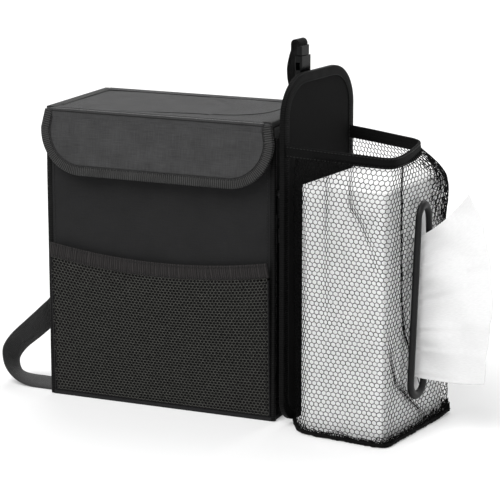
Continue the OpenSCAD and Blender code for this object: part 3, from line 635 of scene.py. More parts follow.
def strand(name, colour, rough=0.55):
    """Knitted strands of a net."""
    s = Shader(name, colour, rough, 0.0, 0.04)
    s.map_axes("Object")
    speck = s.noise(900.0, 2.0)
    s.tint(speck, 0.55, 1.6, 0.3, 0.7)
    s.relief(speck, 0.0002)
    return s.material


def thread_finish(name, colour):
    """Twisted sewing thread."""
    s = Shader(name, colour, 0.5, 0.0, 0.25)
    s.map_axes("Object")
    twist = s.noise(1500.0, 1.0)
    s.tint(twist, 0.6, 1.7, 0.3, 0.7)
    s.relief(twist, 0.0001)
    return s.material


def moulded(name, colour, rough=0.38, spec=0.5, grain=700.0):
    """Moulded plastic with a fine grain and soft handling marks."""
    s = Shader(name, colour, rough, 0.0, spec)
    s.map_axes("Object")
    fine = s.noise(grain, 2.0)
    broad = s.noise(40.0, 3.0)
    s.tint(broad, 0.88, 1.15, 0.3, 0.7)
    s.rough(broad, rough - 0.06, rough + 0.1)
    s.relief(fine, 0.00008)
    return s.material


def lining_film(name, colour):
    """Waterproof film: smooth, with broad shallow creases."""
    s = Shader(name, colour, 0.35, 0.0, 0.5)
    s.map_axes("Object")
    crease = s.noise(24.0, 4.0)
    s.tint(crease, 0.85, 1.12, 0.3, 0.7)
    s.relief(crease, 0.0016)
    return s.material


def card(name, colour):
    """Coated carton board: fine fibres under a faint cloudiness."""
    s = Shader(name, colour, 0.5, 0.0, 0.4)
    s.map_axes("Object")
    fibre = s.noise(420.0, 3.0)
    cloud = s.noise(14.0, 2.0)
    shade = s.math("ADD", s.math("MULTIPLY", fibre, 0.3), s.math("MULTIPLY", cloud, 0.7))
    s.tint(shade, 0.95, 1.03, 0.35, 0.65)
    s.relief(fibre, 0.00006)
    s.rough(cloud, 0.45, 0.6)
    return s.material


def tissue_paper(name, colour):
    """Soft creped tissue."""
    s = Shader(name, colour, 0.9, 0.1, 0.15)
    s.map_axes()
    crepe = s.noise(1.0, 3.0, (900, 260, 1))
    s.tint(crepe, 0.96, 1.02, 0.3, 0.7)
    s.relief(crepe, 0.0002)
    s.surface.inputs["Subsurface Weight"].default_value = 0.12
    s.surface.inputs["Subsurface Radius"].default_value = (0.004, 0.004, 0.004)
    return s.material


def fuzzy_patch(name, colour):
    """Hook or loop tape: a close field of tiny tufts."""
    s = Shader(name, colour, 0.9, 0.3, 0.2)
    s.map_axes("Object")
    tufts = s.add("ShaderNodeTexVoronoi")
    s.links.new(s.place, tufts.inputs["Vector"])
    tufts.inputs["Scale"].default_value = 900.0
    s.tint(tufts.outputs["Distance"], 1.6, 0.5, 0.1, 0.8)
    s.relief(tufts.outputs["Distance"], 0.0006)
    return s.material


FINISHES = {}


def grey(level):
    """A plain grey."""
    return (level, level, level)


def make_finishes(settings):
    """Every finish of the bin, by a plain name."""
    pitch = settings.thread
    FINISHES.update(
        lid=woven_cloth("lid cloth", settings.lid_colour, pitch, 0.68, 0.03, 0.3),
        wall=woven_cloth("wall cloth", settings.wall_colour, pitch, 0.85, 0.02, 0.15),
        board=woven_cloth("board cloth", settings.board_colour, pitch, 0.9, 0.0, 0.15),
        tape=ribbed_tape("binding tape", settings.tape_colour),
        dark_tape=ribbed_tape("dark binding tape", grey(0.0030), 0.0021, 0.5, 0.0, 0.0003, 0.04),
        # the side walls, their pockets and bands take darker copies of the wall cloth, netting and elastic:
        # painted shade for the sides in shadow
        side=woven_cloth("side cloth painted shade", grey(0.003), pitch, 0.9, 0.0, 0.15),
        side_net=strand("side pocket netting painted shade", grey(0.007), 0.8),
        side_elastic=elastic("side elastic painted shade", grey(0.009)),
        piping=ribbed_tape("seam piping", grey(0.006), 0.0018, 0.5, 0.0, 0.0002, 0.06),
        strap=webbing("strap webbing", grey(0.030)),
        black_strap=webbing("black webbing", grey(0.004), 0.6, 0.0, 0.05),
        rim=webbing("rim webbing", grey(0.004), 0.7, 0.0, 0.05),
        elastic=elastic("gathered elastic", (0.0150, 0.0135, 0.0135)),
        net=strand("holder netting", grey(0.0025), 0.8),
        pocket_net=strand("pocket netting", (0.047, 0.047, 0.043), 0.7),
        thread=thread_finish("sewing thread", grey(0.004)),
        # a pale cord along the flap's fold: a painted glint
        ridge=thread_finish("fold painted glint", grey(0.085)),
        # a darker copy of the wall cloth: painted shade inside the front pocket
        pocket_back=woven_cloth("pocket backing painted shade", grey(0.0075), pitch, 0.9, 0.0, 0.15),
        ring=moulded("slot ring plastic", (0.0035, 0.0035, 0.0038), 0.36, 0.2),
        buckle=moulded("buckle plastic", (0.002, 0.0024, 0.0024), 0.2, 0.12),
        lining=lining_film("waterproof lining", (0.25, 0.25, 0.26)),
        carton=card("carton board", grey(0.95)),
        tissue=tissue_paper("tissue", grey(0.75)),
        patch=fuzzy_patch("closure tape", grey(0.012)),
    )


# ---------------------------------------------------------------- repeated work: netting and stitches

def tree_nodes(tree):
    """Short calls that add and join the nodes of a tree."""
    def add(kind, inputs=(), **settings):
        """Adds a node with its inputs and settings."""
        node = tree.nodes.new(kind)
        for key, value in settings.items():
            setattr(node, key, value)
        for key, value in dict(inputs).items():
            if isinstance(value, bpy.types.NodeSocket):
                tree.links.new(value, node.inputs[key])
            else:
                node.inputs[key].default_value = value
        return node

    def calc(operation, a, b=0.0, c=0.0):
        """The result of one sum."""
        return add("ShaderNodeMath", {0: a, 1: b, 2: c}, operation=operation).outputs[0]
    return add, calc


def new_tree(name, inputs):
    """An empty tree with its named inputs."""
    tree = bpy.data.node_groups.new(name, "GeometryNodeTree")
    tree.interface.new_socket("Geometry", in_out="INPUT", socket_type="NodeSocketGeometry")
    for label, kind, default in inputs:
        socket = tree.interface.new_socket(label, in_out="INPUT", socket_type=kind)
        if default is not None:
            socket.default_value = default
    tree.interface.new_socket("Geometry", in_out="OUTPUT", socket_type="NodeSocketGeometry")
    start, end = tree.nodes.new("NodeGroupInput"), tree.nodes.new("NodeGroupOutput")
    return tree, start, end


def netting_tree():
    """Lays flat rows of six-sided strands and wraps them on to a surface by its map."""
    tree, start, end = new_tree("Netting", [
        ("Cell width", "NodeSocketFloat", 0.0065), ("Row spacing", "NodeSocketFloat", 0.0035),
        ("Strand radius", "NodeSocketFloat", 0.0004), ("Width", "NodeSocketFloat", 0.2),
        ("Height", "NodeSocketFloat", 0.1),
        ("Slack", "NodeSocketFloat", 0.0004), ("Finish", "NodeSocketMaterial", None)])
    add, calc = tree_nodes(tree)
    cell, row = start.outputs["Cell width"], start.outputs["Row spacing"]
    width, height = start.outputs["Width"], start.outputs["Height"]
    cols = calc("ADD", calc("CEIL", calc("DIVIDE", width, cell)), 2.0)
    rows = calc("ADD", calc("CEIL", calc("DIVIDE", height, row)), 2.0)
    grid = add("GeometryNodeMeshGrid", {
        "Size X": calc("MULTIPLY", calc("SUBTRACT", cols, 1.0), cell),
        "Size Y": calc("MULTIPLY", calc("SUBTRACT", rows, 1.0), row),
        "Vertices X": cols, "Vertices Y": rows})
    # every other row is set over by half a cell, and the whole lattice starts at the map's corner
    split = add("ShaderNodeSeparateXYZ", {0: add("GeometryNodeInputPosition").outputs[0]})
    deep = calc("MULTIPLY", calc("SUBTRACT", rows, 1.0), row)
    wide = calc("MULTIPLY", calc("SUBTRACT", cols, 1.0), cell)
    from_low = calc("ADD", split.outputs[1], calc("MULTIPLY", deep, 0.5))
    odd = calc("MODULO", calc("ROUND", calc("DIVIDE", from_low, row)), 2.0)
    from_left = calc("ADD", split.outputs[0], calc("MULTIPLY", wide, 0.5))
    half_cell = calc("MULTIPLY", cell, 0.5)
    shifted = calc("ADD", from_left, calc("MULTIPLY", odd, half_cell))
    laid = add("GeometryNodeSetPosition", {
        "Geometry": grid.outputs["Mesh"],
        "Position": add("ShaderNodeCombineXYZ", {0: shifted, 1: from_low}).outputs[0]})
    # the strand of one cell: up its right side, over its top and down to its left corner
    line = add("GeometryNodeMeshLine", {"Count": 4})
    index = add("GeometryNodeInputIndex").outputs[0]
    rise_by = calc("DIVIDE", row, 3.0)
    first = calc("COMPARE", index, 0.0, 0.1)
    peak = calc("COMPARE", index, 2.0, 0.1)
    past = calc("MAXIMUM", calc("SUBTRACT", index, 1.0), 0.0)
    x = calc("SUBTRACT", half_cell, calc("MULTIPLY", past, half_cell))
    two = calc("MULTIPLY", rise_by, 2.0)
    low_end = calc("SUBTRACT", rise_by, calc("MULTIPLY", first, two))
    y = calc("ADD", low_end, calc("MULTIPLY", peak, calc("SUBTRACT", row, two)))
    shaped = add("GeometryNodeSetPosition", {
        "Geometry": line.outputs[0], "Position": add("ShaderNodeCombineXYZ", {0: x, 1: y}).outputs[0]})
    one = add("GeometryNodeMeshToCurve", {"Mesh": shaped.outputs[0]})
    placed = add("GeometryNodeInstanceOnPoints", {"Points": laid.outputs[0], "Instance": one.outputs[0]})
    flat = add("GeometryNodeRealizeInstances", {"Geometry": placed.outputs[0]})
    # a little slack in the knitting, then the wrap
    here = add("GeometryNodeInputPosition").outputs[0]
    drift = add("ShaderNodeTexNoise", {"Vector": here, "Scale": 95.0, "Detail": 1.0})
    even = (0.5, 0.5, 0.5)
    pushed = add("ShaderNodeVectorMath", {0: drift.outputs["Color"], 1: even}, operation="SUBTRACT")
    eased = add("ShaderNodeVectorMath", {0: pushed.outputs[0]}, operation="SCALE")
    tree.links.new(start.outputs["Slack"], eased.inputs["Scale"])
    spot = add("ShaderNodeVectorMath", {0: here, 1: eased.outputs[0]}, operation="ADD").outputs[0]
    map_name = add("GeometryNodeInputNamedAttribute", {"Name": "UVMap"}, data_type="FLOAT_VECTOR").outputs[0]
    place = add("GeometryNodeSampleUVSurface", {
        "Mesh": start.outputs["Geometry"], "Value": add("GeometryNodeInputPosition").outputs[0],
        "Source UV Map": map_name, "Sample UV": spot}, data_type="FLOAT_VECTOR")
    missed = add("FunctionNodeBooleanMath", {0: place.outputs["Is Valid"]}, operation="NOT")
    kept = add("GeometryNodeDeleteGeometry", {
        "Geometry": flat.outputs[0], "Selection": missed.outputs[0]}, domain="POINT")
    wrapped = add("GeometryNodeSetPosition", {"Geometry": kept.outputs[0], "Position": place.outputs[0]})
    section = add("GeometryNodeCurvePrimitiveCircle", {
        "Resolution": 4, "Radius": start.outputs["Strand radius"]}, mode="RADIUS")
    tube = add("GeometryNodeCurveToMesh", {
        "Curve": wrapped.outputs[0], "Profile Curve": section.outputs[0], "Fill Caps": True})
    smooth = add("GeometryNodeSetShadeSmooth", {"Geometry": tube.outputs[0]})
    real = add("GeometryNodeRealizeInstances", {"Geometry": smooth.outputs[0]})
    finished = add("GeometryNodeSetMaterial", {
        "Geometry": real.outputs[0], "Material": start.outputs["Finish"]})
    tree.links.new(finished.outputs[0], end.inputs[0])
    return tree


def stitch_tree():
    """Sets short beads of thread along seam lines."""
    tree, start, end = new_tree("Stitches", [
        ("Pitch", "NodeSocketFloat", 0.0034), ("Length", "NodeSocketFloat", 0.0027),
        ("Width", "NodeSocketFloat", 0.0008), ("Finish", "NodeSocketMaterial", None)])
    add, _ = tree_nodes(tree)
    line = add("GeometryNodeMeshToCurve", {"Mesh": start.outputs["Geometry"]})
    points = add("GeometryNodeResampleCurve", {
        "Curve": line.outputs[0], "Length": start.outputs["Pitch"]}, mode="LENGTH")
    bead = add("GeometryNodeMeshUVSphere", {"Segments": 6, "Rings": 4, "Radius": 0.5})
    size = add("ShaderNodeCombineXYZ", {
        0: start.outputs["Width"], 1: start.outputs["Width"], 2: start.outputs["Length"]})
    shaped = add("GeometryNodeTransform", {"Geometry": bead.outputs["Mesh"], "Scale": size.outputs[0]})
    along = add("GeometryNodeInputTangent").outputs[0]
    turn = add("FunctionNodeAlignRotationToVector", {"Vector": along}, axis="Z")
    placed = add("GeometryNodeInstanceOnPoints", {
        "Points": points.outputs[0], "Instance": shaped.outputs[0], "Rotation": turn.outputs[0]})
    real = add("GeometryNodeRealizeInstances", {"Geometry": placed.outputs[0]})
    smooth = add("GeometryNodeSetShadeSmooth", {"Geometry": real.outputs[0]})
    finished = add("GeometryNodeSetMaterial", {
        "Geometry": smooth.outputs[0], "Material": start.outputs["Finish"]})
    tree.links.new(finished.outputs[0], end.inputs[0])
    return tree


def grown(name, base, tree, values):
    """Runs a tree on a base object and keeps the result as a plain mesh piece."""
    modifier = base.modifiers.new("grow", "NODES")
    modifier.node_group = tree
    for item in tree.interface.items_tree:
        if item.in_out == "INPUT" and item.name in values:
            modifier[item.identifier] = values[item.name]
    base.update_tag()
    bpy.context.view_layer.update()
    evaluated = base.evaluated_get(bpy.context.evaluated_depsgraph_get())
    mesh = bpy.data.meshes.new_from_object(evaluated)
    base.modifiers.clear()
    if not len(mesh.polygons):
        raise RuntimeError(f"{name} came out empty")
    obj = bpy.data.objects.new(name, mesh)
    mesh.name = name
    bpy.context.scene.collection.objects.link(obj)
    old = base.data
    bpy.data.objects.remove(base)
    bpy.data.meshes.remove(old)
    return obj


def netted(name, rows, width, height, strand_r, finish, slack=0.0004, hole=None, columns=None,
           cell=None, row=None):
    """Netting wrapped on rows of points, mapped in millimetres. columns holds an uneven map across."""
    rows = np.asarray(rows, float)
    count, size = rows.shape[:2]
    u = np.linspace(0, width, size) if columns is None else columns
    v = np.linspace(0, height, count)
    faces = []
    for j in range(count - 1):
        for i in range(size - 1):
            if hole and hole(rows[j:j + 2, i:i + 2].reshape(-1, 3).mean(axis=0)):
                continue
            a = j * size + i
            faces.append((a, a + 1, a + size + 1, a + size))
    uvs = np.stack([np.broadcast_to(u, (count, size)), np.broadcast_to(v[:, None], (count, size))], axis=-1)
    base = make_piece(name + "_base", rows.reshape(-1, 3), faces, uvs.reshape(-1, 2), closed=False)
    nets = bpy.context.scene.bin_netting
    return grown(name, base, TREES["netting"], {
        "Cell width": cell or nets.cell, "Row spacing": row or nets.row, "Strand radius": strand_r,
        "Width": width * MM, "Height": height * MM, "Slack": slack, "Finish": FINISHES[finish]})


def pocket_netted(name, rows, width, height, finish):
    """The close knit of the bin's pockets."""
    nets = bpy.context.scene.bin_netting
    return netted(name, rows, width, height, nets.pocket_strand, finish, 0.0003,
                  cell=nets.pocket_cell, row=nets.pocket_row)


def stitched(name, lines, body="bin"):
    """Stitches along several seam lines."""
    work = bmesh.new()
    for line in lines:
        spots = [work.verts.new(tuple(np.asarray(p, float) * MM)) for p in line]
        for a, b in zip(spots, spots[1:]):
            work.edges.new((a, b))
    mesh = bpy.data.meshes.new(name + "_seams")
    work.to_mesh(mesh)
    work.free()
    base = new_object(name + "_seams", mesh)
    sewing = bpy.context.scene.bin_stitches
    obj = grown(name, base, TREES["stitches"], {
        "Pitch": sewing.pitch, "Length": sewing.length, "Width": sewing.width,
        "Finish": FINISHES["thread"]})
    return finish_piece(obj, "thread", body)


TREES = {}


# ---------------------------------------------------------------- bin

SIDES = {
    "front": (lambda x, z, d: (x, -HALF_D - d, z), HALF_W),
    "back": (lambda x, z, d: (-x, HALF_D + d, z), HALF_W),
    "left": (lambda x, z, d: (-HALF_W - d, -x, z), HALF_D),
    "right": (lambda x, z, d: (HALF_W + d, x, z), HALF_D),
}


HANDS = ((-1, "left"), (1, "right"))
UP = (0, 0, 1)


def rounded_box(half_w, half_d, r, steps=6, side=24):
    """A rectangle in plan with round corners, counter-clockwise, with points along its sides."""
    spots = []
    for k, (sx, sy) in enumerate(((1, 1), (-1, 1), (-1, -1), (1, -1))):
        cx, cy = sx * (half_w - r), sy * (half_d - r)
        for i in range(steps + 1):
            a = math.radians(90 * k + 90 * i / steps)
            spots.append((cx + r * math.cos(a), cy + r * math.sin(a)))
        nx, ny = (-sx, sy) if k % 2 == 0 else (sx, -sy)
        last = np.array(spots[-1])
        turn = math.radians(90 * k + 90)
        bend = r * np.array((math.cos(turn), math.sin(turn)))
        following = np.array((nx * (half_w - r), ny * (half_d - r))) + bend
        for i in range(1, side):
            spots.append(tuple(last + (following - last) * i / side))
    return np.array(spots)


class BIN_OT_walls(bpy.types.Operator):
    """Builds the four cloth walls, the base board, the corner piping and the tapes"""
    bl_idname = "trash_bin.walls"
    bl_label = "Walls and base"

    def execute(self, context):
        for side, (place, half) in SIDES.items():
            seed = 3.0 * len(side) + ord(side[0])
            flat = half - 2.9

            def dome(x, z, flat=flat, seed=seed):
                edge = crown(x / flat, 4) * crown((z - 140) / 139, 8)
                return edge * (0.35 + 0.35 * ripple(x, z, 0, 70, seed))
            rows = corner_rows(1.2, WALL_TOP - 1.2, 0, 0, -flat, flat, 7.0)
            obj = panel(side + "_wall_cloth", rows, int(flat / 3.5), place, 0.0, -3.4, 1.6, dome)
            # the left and right walls take the darker side cloth: painted shade
            finish = "side" if side in ("left", "right") else "wall"
            finish_piece(obj, finish, "bin", [side + "_wall"])
        rows = corner_rows(-HALF_D + 4.6, HALF_D - 4.6, 0, 0, -HALF_W + 4.6, HALF_W - 4.6, 8.0)
        base = panel("base_board", rows, 30, lambda x, y, d: (x, y, 2 + d), 2.0, -2.0, 1.0)
        finish_piece(base, "wall", "bin", ["base_panel"])
        self.corners()
        self.tapes()
        self.lining()
        self.sewing()
        return {"FINISHED"}

    def corners(self):
        """Piping down each upright corner, with the folded seam behind it."""
        for end, sy in (("front", -1), ("back", 1)):
            for sx, hand in HANDS:
                rings = []
                for z in np.linspace(0.6, RIM_LOW + 2, 46):
                    sway = 0.12 * ripple(sx * 9, sy * 5, z, 22)
                    ring = []
                    for i in range(14):
                        a = 2 * math.pi * i / 14
                        reach = 2.3 if math.cos(a - math.pi / 4) > -0.3 else 3.6
                        x = HALF_W + 0.3 + sway + reach * math.cos(a)
                        y = HALF_D - 1.2 + sway + reach * math.sin(a)
                        ring.append((sx * x, sy * y, z))
                    rings.append(ring)
                name = f"{end}_{hand}"
                piping = loft("piping_" + name, rings)
                finish_piece(piping, "piping", "bin", ["corner_seam_" + name])

    def tapes(self):
        """Ribbed tape over the rim, and the strip round the foot."""
        self.round_the_bin("rim_tape_cloth", [
            (0.1, RIM_LOW), (0.75, RIM_LOW + 0.1), (0.85, RIM_LOW + 4), (0.8, RIM_TOP - 0.5), (0.3, RIM_TOP),
            (-1.5, RIM_TOP + 0.05), (-3.8, RIM_TOP), (-4.3, RIM_TOP - 0.5), (-4.35, RIM_LOW + 4),
            (-4.3, RIM_LOW + 0.1), (-3.6, RIM_LOW), (-3.55, WALL_TOP - 0.3), (0.1, WALL_TOP - 0.3),
        ], "tape", "binding_tape", "rim_tape")
        self.round_the_bin("foot_tape_cloth", [
            (0.1, 0.1), (0.6, 0.05), (0.8, 0.5), (0.85, 2.2), (0.75, 3.8), (0.3, 4.1), (0.05, 3.9),
        ], "wall", "seam_piping", "foot_tape")

    def round_the_bin(self, name, section, finish, slot, node):
        """Carries a section of (out, height) round the bin's plan."""
        rings = []
        for out, z in section:
            plan = rounded_box(HALF_W + out, HALF_D + out, max(0.6, 2.5 + out))
            rings.append([(x, y, z) for x, y in plan])
        obj = loft(name, np.transpose(np.array(rings), (1, 0, 2)), closed_path=True)
        finish_piece(obj, finish, "bin", [node])

    def lining(self):
        """The film inside, open at the top."""
        outer = rounded_box(HALF_W - 4.4, HALF_D - 4.4, 5)
        inner = rounded_box(HALF_W - 5.2, HALF_D - 5.2, 4.2)
        low, high = 4.6, RIM_LOW - 0.3
        rings = [[(x * 0.98, y * 0.97, low) for x, y in outer]]
        rings += [[(x, y, z) for x, y in outer] for z in np.linspace(low + 1.5, high, 30)]
        for z in np.linspace(high, low + 1.6, 34):
            ring = []
            for x, y in inner:
                fade = min(1.0, (high - z) / 14)
                k = 1 - fade * 0.012 * (1 + ripple(x, y, z, 26))
                ring.append((x * k, y * k, z))
            rings.append(ring)
        rings.append([(x * 0.95, y * 0.93, low + 0.9) for x, y in inner])
        obj = loft("lining_film", rings)
        finish_piece(obj, "lining", "bin", ["liner"])

    def sewing(self):
        """Lines of stitches beside the corners and along the rim tape."""
        lines = []
        for place, half in SIDES.values():
            for x in (-half + 5.5, half - 5.5):
                lines.append([place(x, z, 0.25) for z in np.linspace(8, RIM_LOW - 3, 60)])
            lines.append([place(x, RIM_LOW + 1.6, 0.95) for x in np.linspace(-half + 3, half - 3, 60)])
        stitched("wall_stitches", lines)


# The line pressed into the lid's cloth, and the cloth strip that the lid turns on
LID_CREASE = [(95, 46), (94.3, 17), (92.3, -6), (87.4, -20), (77.2, -32), (66.2, -38.5), (50, -42),
              (34, -43.5), (12, -47.5), (-16, -54), (-48, -62)]
HINGE_LINE = [(0, 61.5, 261.2), (0, 61.5, 270), (0, 61.4, 279), (0, 61.1, 282.5), (0, 60.2, 284.8),
              (0, 58.2, 285.9), (0, 54, 286.0), (0, 47, 285.8)]


class BIN_OT_lid(bpy.types.Operator):
    """Builds the lid board, its side tapes and the cloth it turns on"""
    bl_idname = "trash_bin.lid"
    bl_label = "Lid"

    def execute(self, context):
        half = HALF_W - 1.6
        rows = corner_rows(LID_FRONT + 0.6, LID_BACK - 1.8, 0, 9.0, -half + 0.6, half - 0.6, 4.0)

        def dome(x, y):
            edge = crown(x / half, 6) * crown((y + 2) / 62, 6)
            swell = edge * (0.5 + 0.8 * ripple(x, y, 0, 85, 4.0) + 0.25 * ripple(x, y, 0, 30, 9.0))
            bend = 66 - 0.012 * (y + 40) ** 2 + 0.5 * y
            crease = 0.35 * hump(x - bend, 4.5, 3) - 0.55 * hump(x, bend, 2.2)
            return swell + edge * crease
        obj = panel("lid_board", rows, 90, lambda x, y, d: (x, y, LID_MIDDLE + d), 2.0, -2.0, 1.5, dome)
        finish_piece(obj, "lid", "lid", ["lid_panel"])
        fine = (0.55, 0.4, 8)
        for side, hand in HANDS:
            path = [(side * (HALF_W - 0.9), y, LID_MIDDLE) for y in np.arange(LID_FRONT, 57.9, 1.2)]
            section = tape_profile(9.0, 2.0, -2.0, 1.1, 0.8)
            tape = swept("lid_tape_cloth_" + hand, path, alike((-side, 0, 0), path), alike(UP, path), section)
            finish_piece(tape, "tape", "lid", ["lid_tape_" + hand])
        for side, hand in HANDS:
            path = []
            for y in np.linspace(LID_FRONT + 0.5, 54, 90):
                x = HALF_W - 10.3 - 0.3 * ripple(y, 0, 0, 14, side)
                path.append((side * x, y, LID_TOP + 0.3 + 0.4 * max(0.0, 1 - abs(y) / 60)))
            sewn_line("lid_seam_line_" + hand, path, alike((-side, 0, 0), path), alike(UP, path), fine, "lid")
        # a dark cord along the crease: painted shade of the pressed line
        path = smooth_line(LID_CREASE, 1.2)
        path[:, 2] = [LID_TOP + 0.25 + dome(x, y) for x, y, _ in path]
        across = np.cross(unit(np.gradient(path, axis=0)), UP)
        sewn_line("lid_crease", path, across, alike(UP, path), fine, "lid")
        self.hinge_cloth()
        return {"FINISHED"}

    def hinge_cloth(self):
        """One strip, sewn to the bin's back and to the lid, over the line the lid turns on."""
        path = smooth_line(HINGE_LINE, 1.0)
        out = unit(np.cross(np.gradient(path, axis=0), (1.0, 0, 0)))
        half = HALF_W - 7
        rings = []
        for x in np.linspace(-half, half, 90):
            ring = []
            for p, n in zip(path, out):
                ring.append((x, p[1] - 0.35 * n[1] + 0.08 * ripple(x, p[1], p[2], 9), p[2] - 0.35 * n[2]))
            for p, n in zip(path[::-1], out[::-1]):
                ring.append((x, p[1] + 0.35 * n[1], p[2] + 0.35 * n[2]))
            rings.append(ring)
        obj = loft("hinge_cloth", rings)
        finish_piece(obj, "lid", None, ["hinge_strip"])
        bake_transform(obj)
        lines = [[(x, 62.1, z) for x in np.linspace(-half + 3, half - 3, 70)] for z in (263.5, 267.5)]
        stitched("hinge_stitches", lines)


def flap_half(z, inset):
    """Half width of the flap at a height."""
    r, bend = FLAP_R - inset, FLAP_LOW + FLAP_R
    if z >= bend:
        return HALF_W - inset + (FLAP_WIDE - HALF_W) * (FOLD_Z - z) / (FOLD_Z - bend)
    return FLAP_WIDE - FLAP_R + math.sqrt(max(0.0, r * r - (bend - z) ** 2))


def flap_outline(inset, top, step=2.0):
    """The flap's edge from its left side, round the bottom and up the right side."""
    bend, r = FLAP_LOW + FLAP_R, FLAP_R - inset
    right = [(flap_half(z, inset), z) for z in np.arange(top, bend, -step)]
    for a in np.linspace(0, 90, 26):
        turn = math.radians(a)
        right.append((FLAP_WIDE - FLAP_R + r * math.cos(turn), bend - r * math.sin(turn)))
    left = [(-x, z) for x, z in right]
    reach = right[-1][0]
    across = np.linspace(-reach, reach, int(2 * reach / step))[1:-1]
    return np.array(left + [(x, FLAP_LOW + inset) for x in across] + right[::-1])


def flap_swell(x, z):
    """How far the hanging flap bows and ripples off its flat plane."""
    edge = crown(x / 114, 4) * max(0.0, math.sin(math.pi * rise(z, FLAP_LOW, FOLD_Z - FLAP_LOW))) ** 0.8
    return edge * (0.9 + 0.5 * ripple(x, z, 0, 60, 2.0) + 0.18 * ripple(x, z, 0, 18, 5.0))


def flap_inward(line):
    """From each point of the flap's edge, the direction towards its middle."""
    return np.array([(-nx, -nz * LEAN_SIN, -nz * LEAN_COS) for nx, nz in outline_normals(line, False)])


# The cloth over the fold from lid to flap, and the lines along it: y, z, radius and finish
FOLD_CLOTH = [(0, -54, 285.25), (0, -60, 285.3), (0, -63.6, 285.45), (0, -65.3, 284.9), (0, -66.2, 283.4),
              (0, -66.6, 280.6), (0, -66.8, 278), (0, -66.5, 275.6), (0, -65.9, 274.4)]
FOLD_LINES = {
    "fold_top_line": (-64.3, 285.25, 0.5, "thread"),
    # the pale cord at the fold's edge is a painted glint
    "fold_painted_glint": (-65.6, 284.7, 0.42, "ridge"),
    "fold_seam_line": (-66.8, 282.9, 0.75, "thread"),
}


class BIN_OT_flap(bpy.types.Operator):
    """Builds the hanging flap, its binding tape, its stitching and the closure under it"""
    bl_idname = "trash_bin.flap"
    bl_label = "Flap"

    def execute(self, context):
        bend = FLAP_LOW + FLAP_R
        inset = 1.9
        heights = [bend - (FLAP_R - inset) * math.sin(math.radians(a)) for a in np.linspace(90, 0, 22)]
        heights += list(np.linspace(bend, FOLD_Z - 0.2, 14))[1:]
        rows = [(z, -flap_half(z, inset), flap_half(z, inset)) for z in heights]
        middle = (FLAP_FRONT + FLAP_BACK) / 2
        obj = panel("flap_cloth", rows, 84, lambda x, z, d: leaned((x, middle - d, z)), 1.3, -1.3, 1.1,
                    flap_swell)
        finish_piece(obj, "lid", "flap", ["flap_panel"])
        ahead = (0, -LEAN_COS, LEAN_SIN)
        line = flap_outline(0.8, FOLD_Z - 0.3, 1.2)
        path = [leaned((x, middle, z)) for x, z in line]
        section = tape_profile(8.0, 1.3, -1.3, 0.9, 0.8)
        tape = swept("flap_tape_cloth", path, flap_inward(line), alike(ahead, path), section)
        finish_piece(tape, "tape", "flap", ["flap_tape"])
        line = flap_outline(8.3, RIM_TOP - 1, 1.2)
        stitched("flap_stitches", [[leaned((x, FLAP_FRONT - 0.95, z)) for x, z in line]], "flap")
        line = flap_outline(9.8, RIM_TOP - 1, 1.2)
        path = [leaned((x, FLAP_FRONT - 0.12 - flap_swell(x, z), z)) for x, z in line]
        sewn_line("flap_seam_line", path, flap_inward(line), alike(ahead, path), (0.5, 0.3, 8), "flap")
        self.closure()
        self.fold_cloth()
        return {"FINISHED"}

    def closure(self):
        """The loop patch on the bin and the hook patch under the flap."""
        low, high = node_box("loop_patch")
        half = (high[1] - low[1]) / 2
        rows = corner_rows(low[2] + 0.5, high[2] - 0.5, 2, 2, low[0] + 0.5, high[0] - 0.5, 3.0)
        places = {
            "bin": ("loop_patch", lambda x, z, d: (x, (low[1] + high[1]) / 2 - d, z)),
            "flap": ("hook_patch", lambda x, z, d: leaned((x, FLAP_BACK + half - d, z))),
        }
        for body, (node, place) in places.items():
            obj = panel(node + "_tape", rows, 20, place, half, -half, 0.5)
            finish_piece(obj, "patch", body, [node])

    def fold_cloth(self):
        """The cloth that runs over the fold from the lid to the flap, with a pale cord along the fold that is
        a painted glint, and its seam.
        """
        path = smooth_line(FOLD_CLOTH, 0.8)
        half = HALF_W - 8.2
        out = unit(np.cross((1.0, 0, 0), np.gradient(path, axis=0)))
        spots = np.arange(len(path))
        edge = np.clip(np.minimum(spots, spots[::-1]) / 6, 0, 1)
        rings = []
        for x in np.linspace(-half, half, 100):
            lift = 0.22 + 0.12 * ripple(x, 0, 0, 16, 7.0)
            off = 0.02 + lift * edge
            skin = [(x, p[1] + n[1] * e, p[2] + n[2] * e) for p, n, e in zip(path, out, off)]
            under = [(x, p[1] - n[1] * 0.25, p[2] - n[2] * 0.25) for p, n in zip(path, out)]
            rings.append(skin + under[::-1])
        obj = loft("fold_cloth", rings)
        finish_piece(obj, "lid", None)
        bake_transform(obj)
        for name, (y, z, r, finish) in FOLD_LINES.items():
            path = []
            for x in np.linspace(-half - 1.5, half + 1.5, 150):
                path.append((x, y - 0.15 * ripple(x, z, 0, 11, 2.0), z + 0.35 * ripple(x, y, 0, 16, 6.0)))
            line = sewn_line(name, path, alike(UP, path), alike((0, -1, 0), path), (r, r, 8), None, finish)
            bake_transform(line)


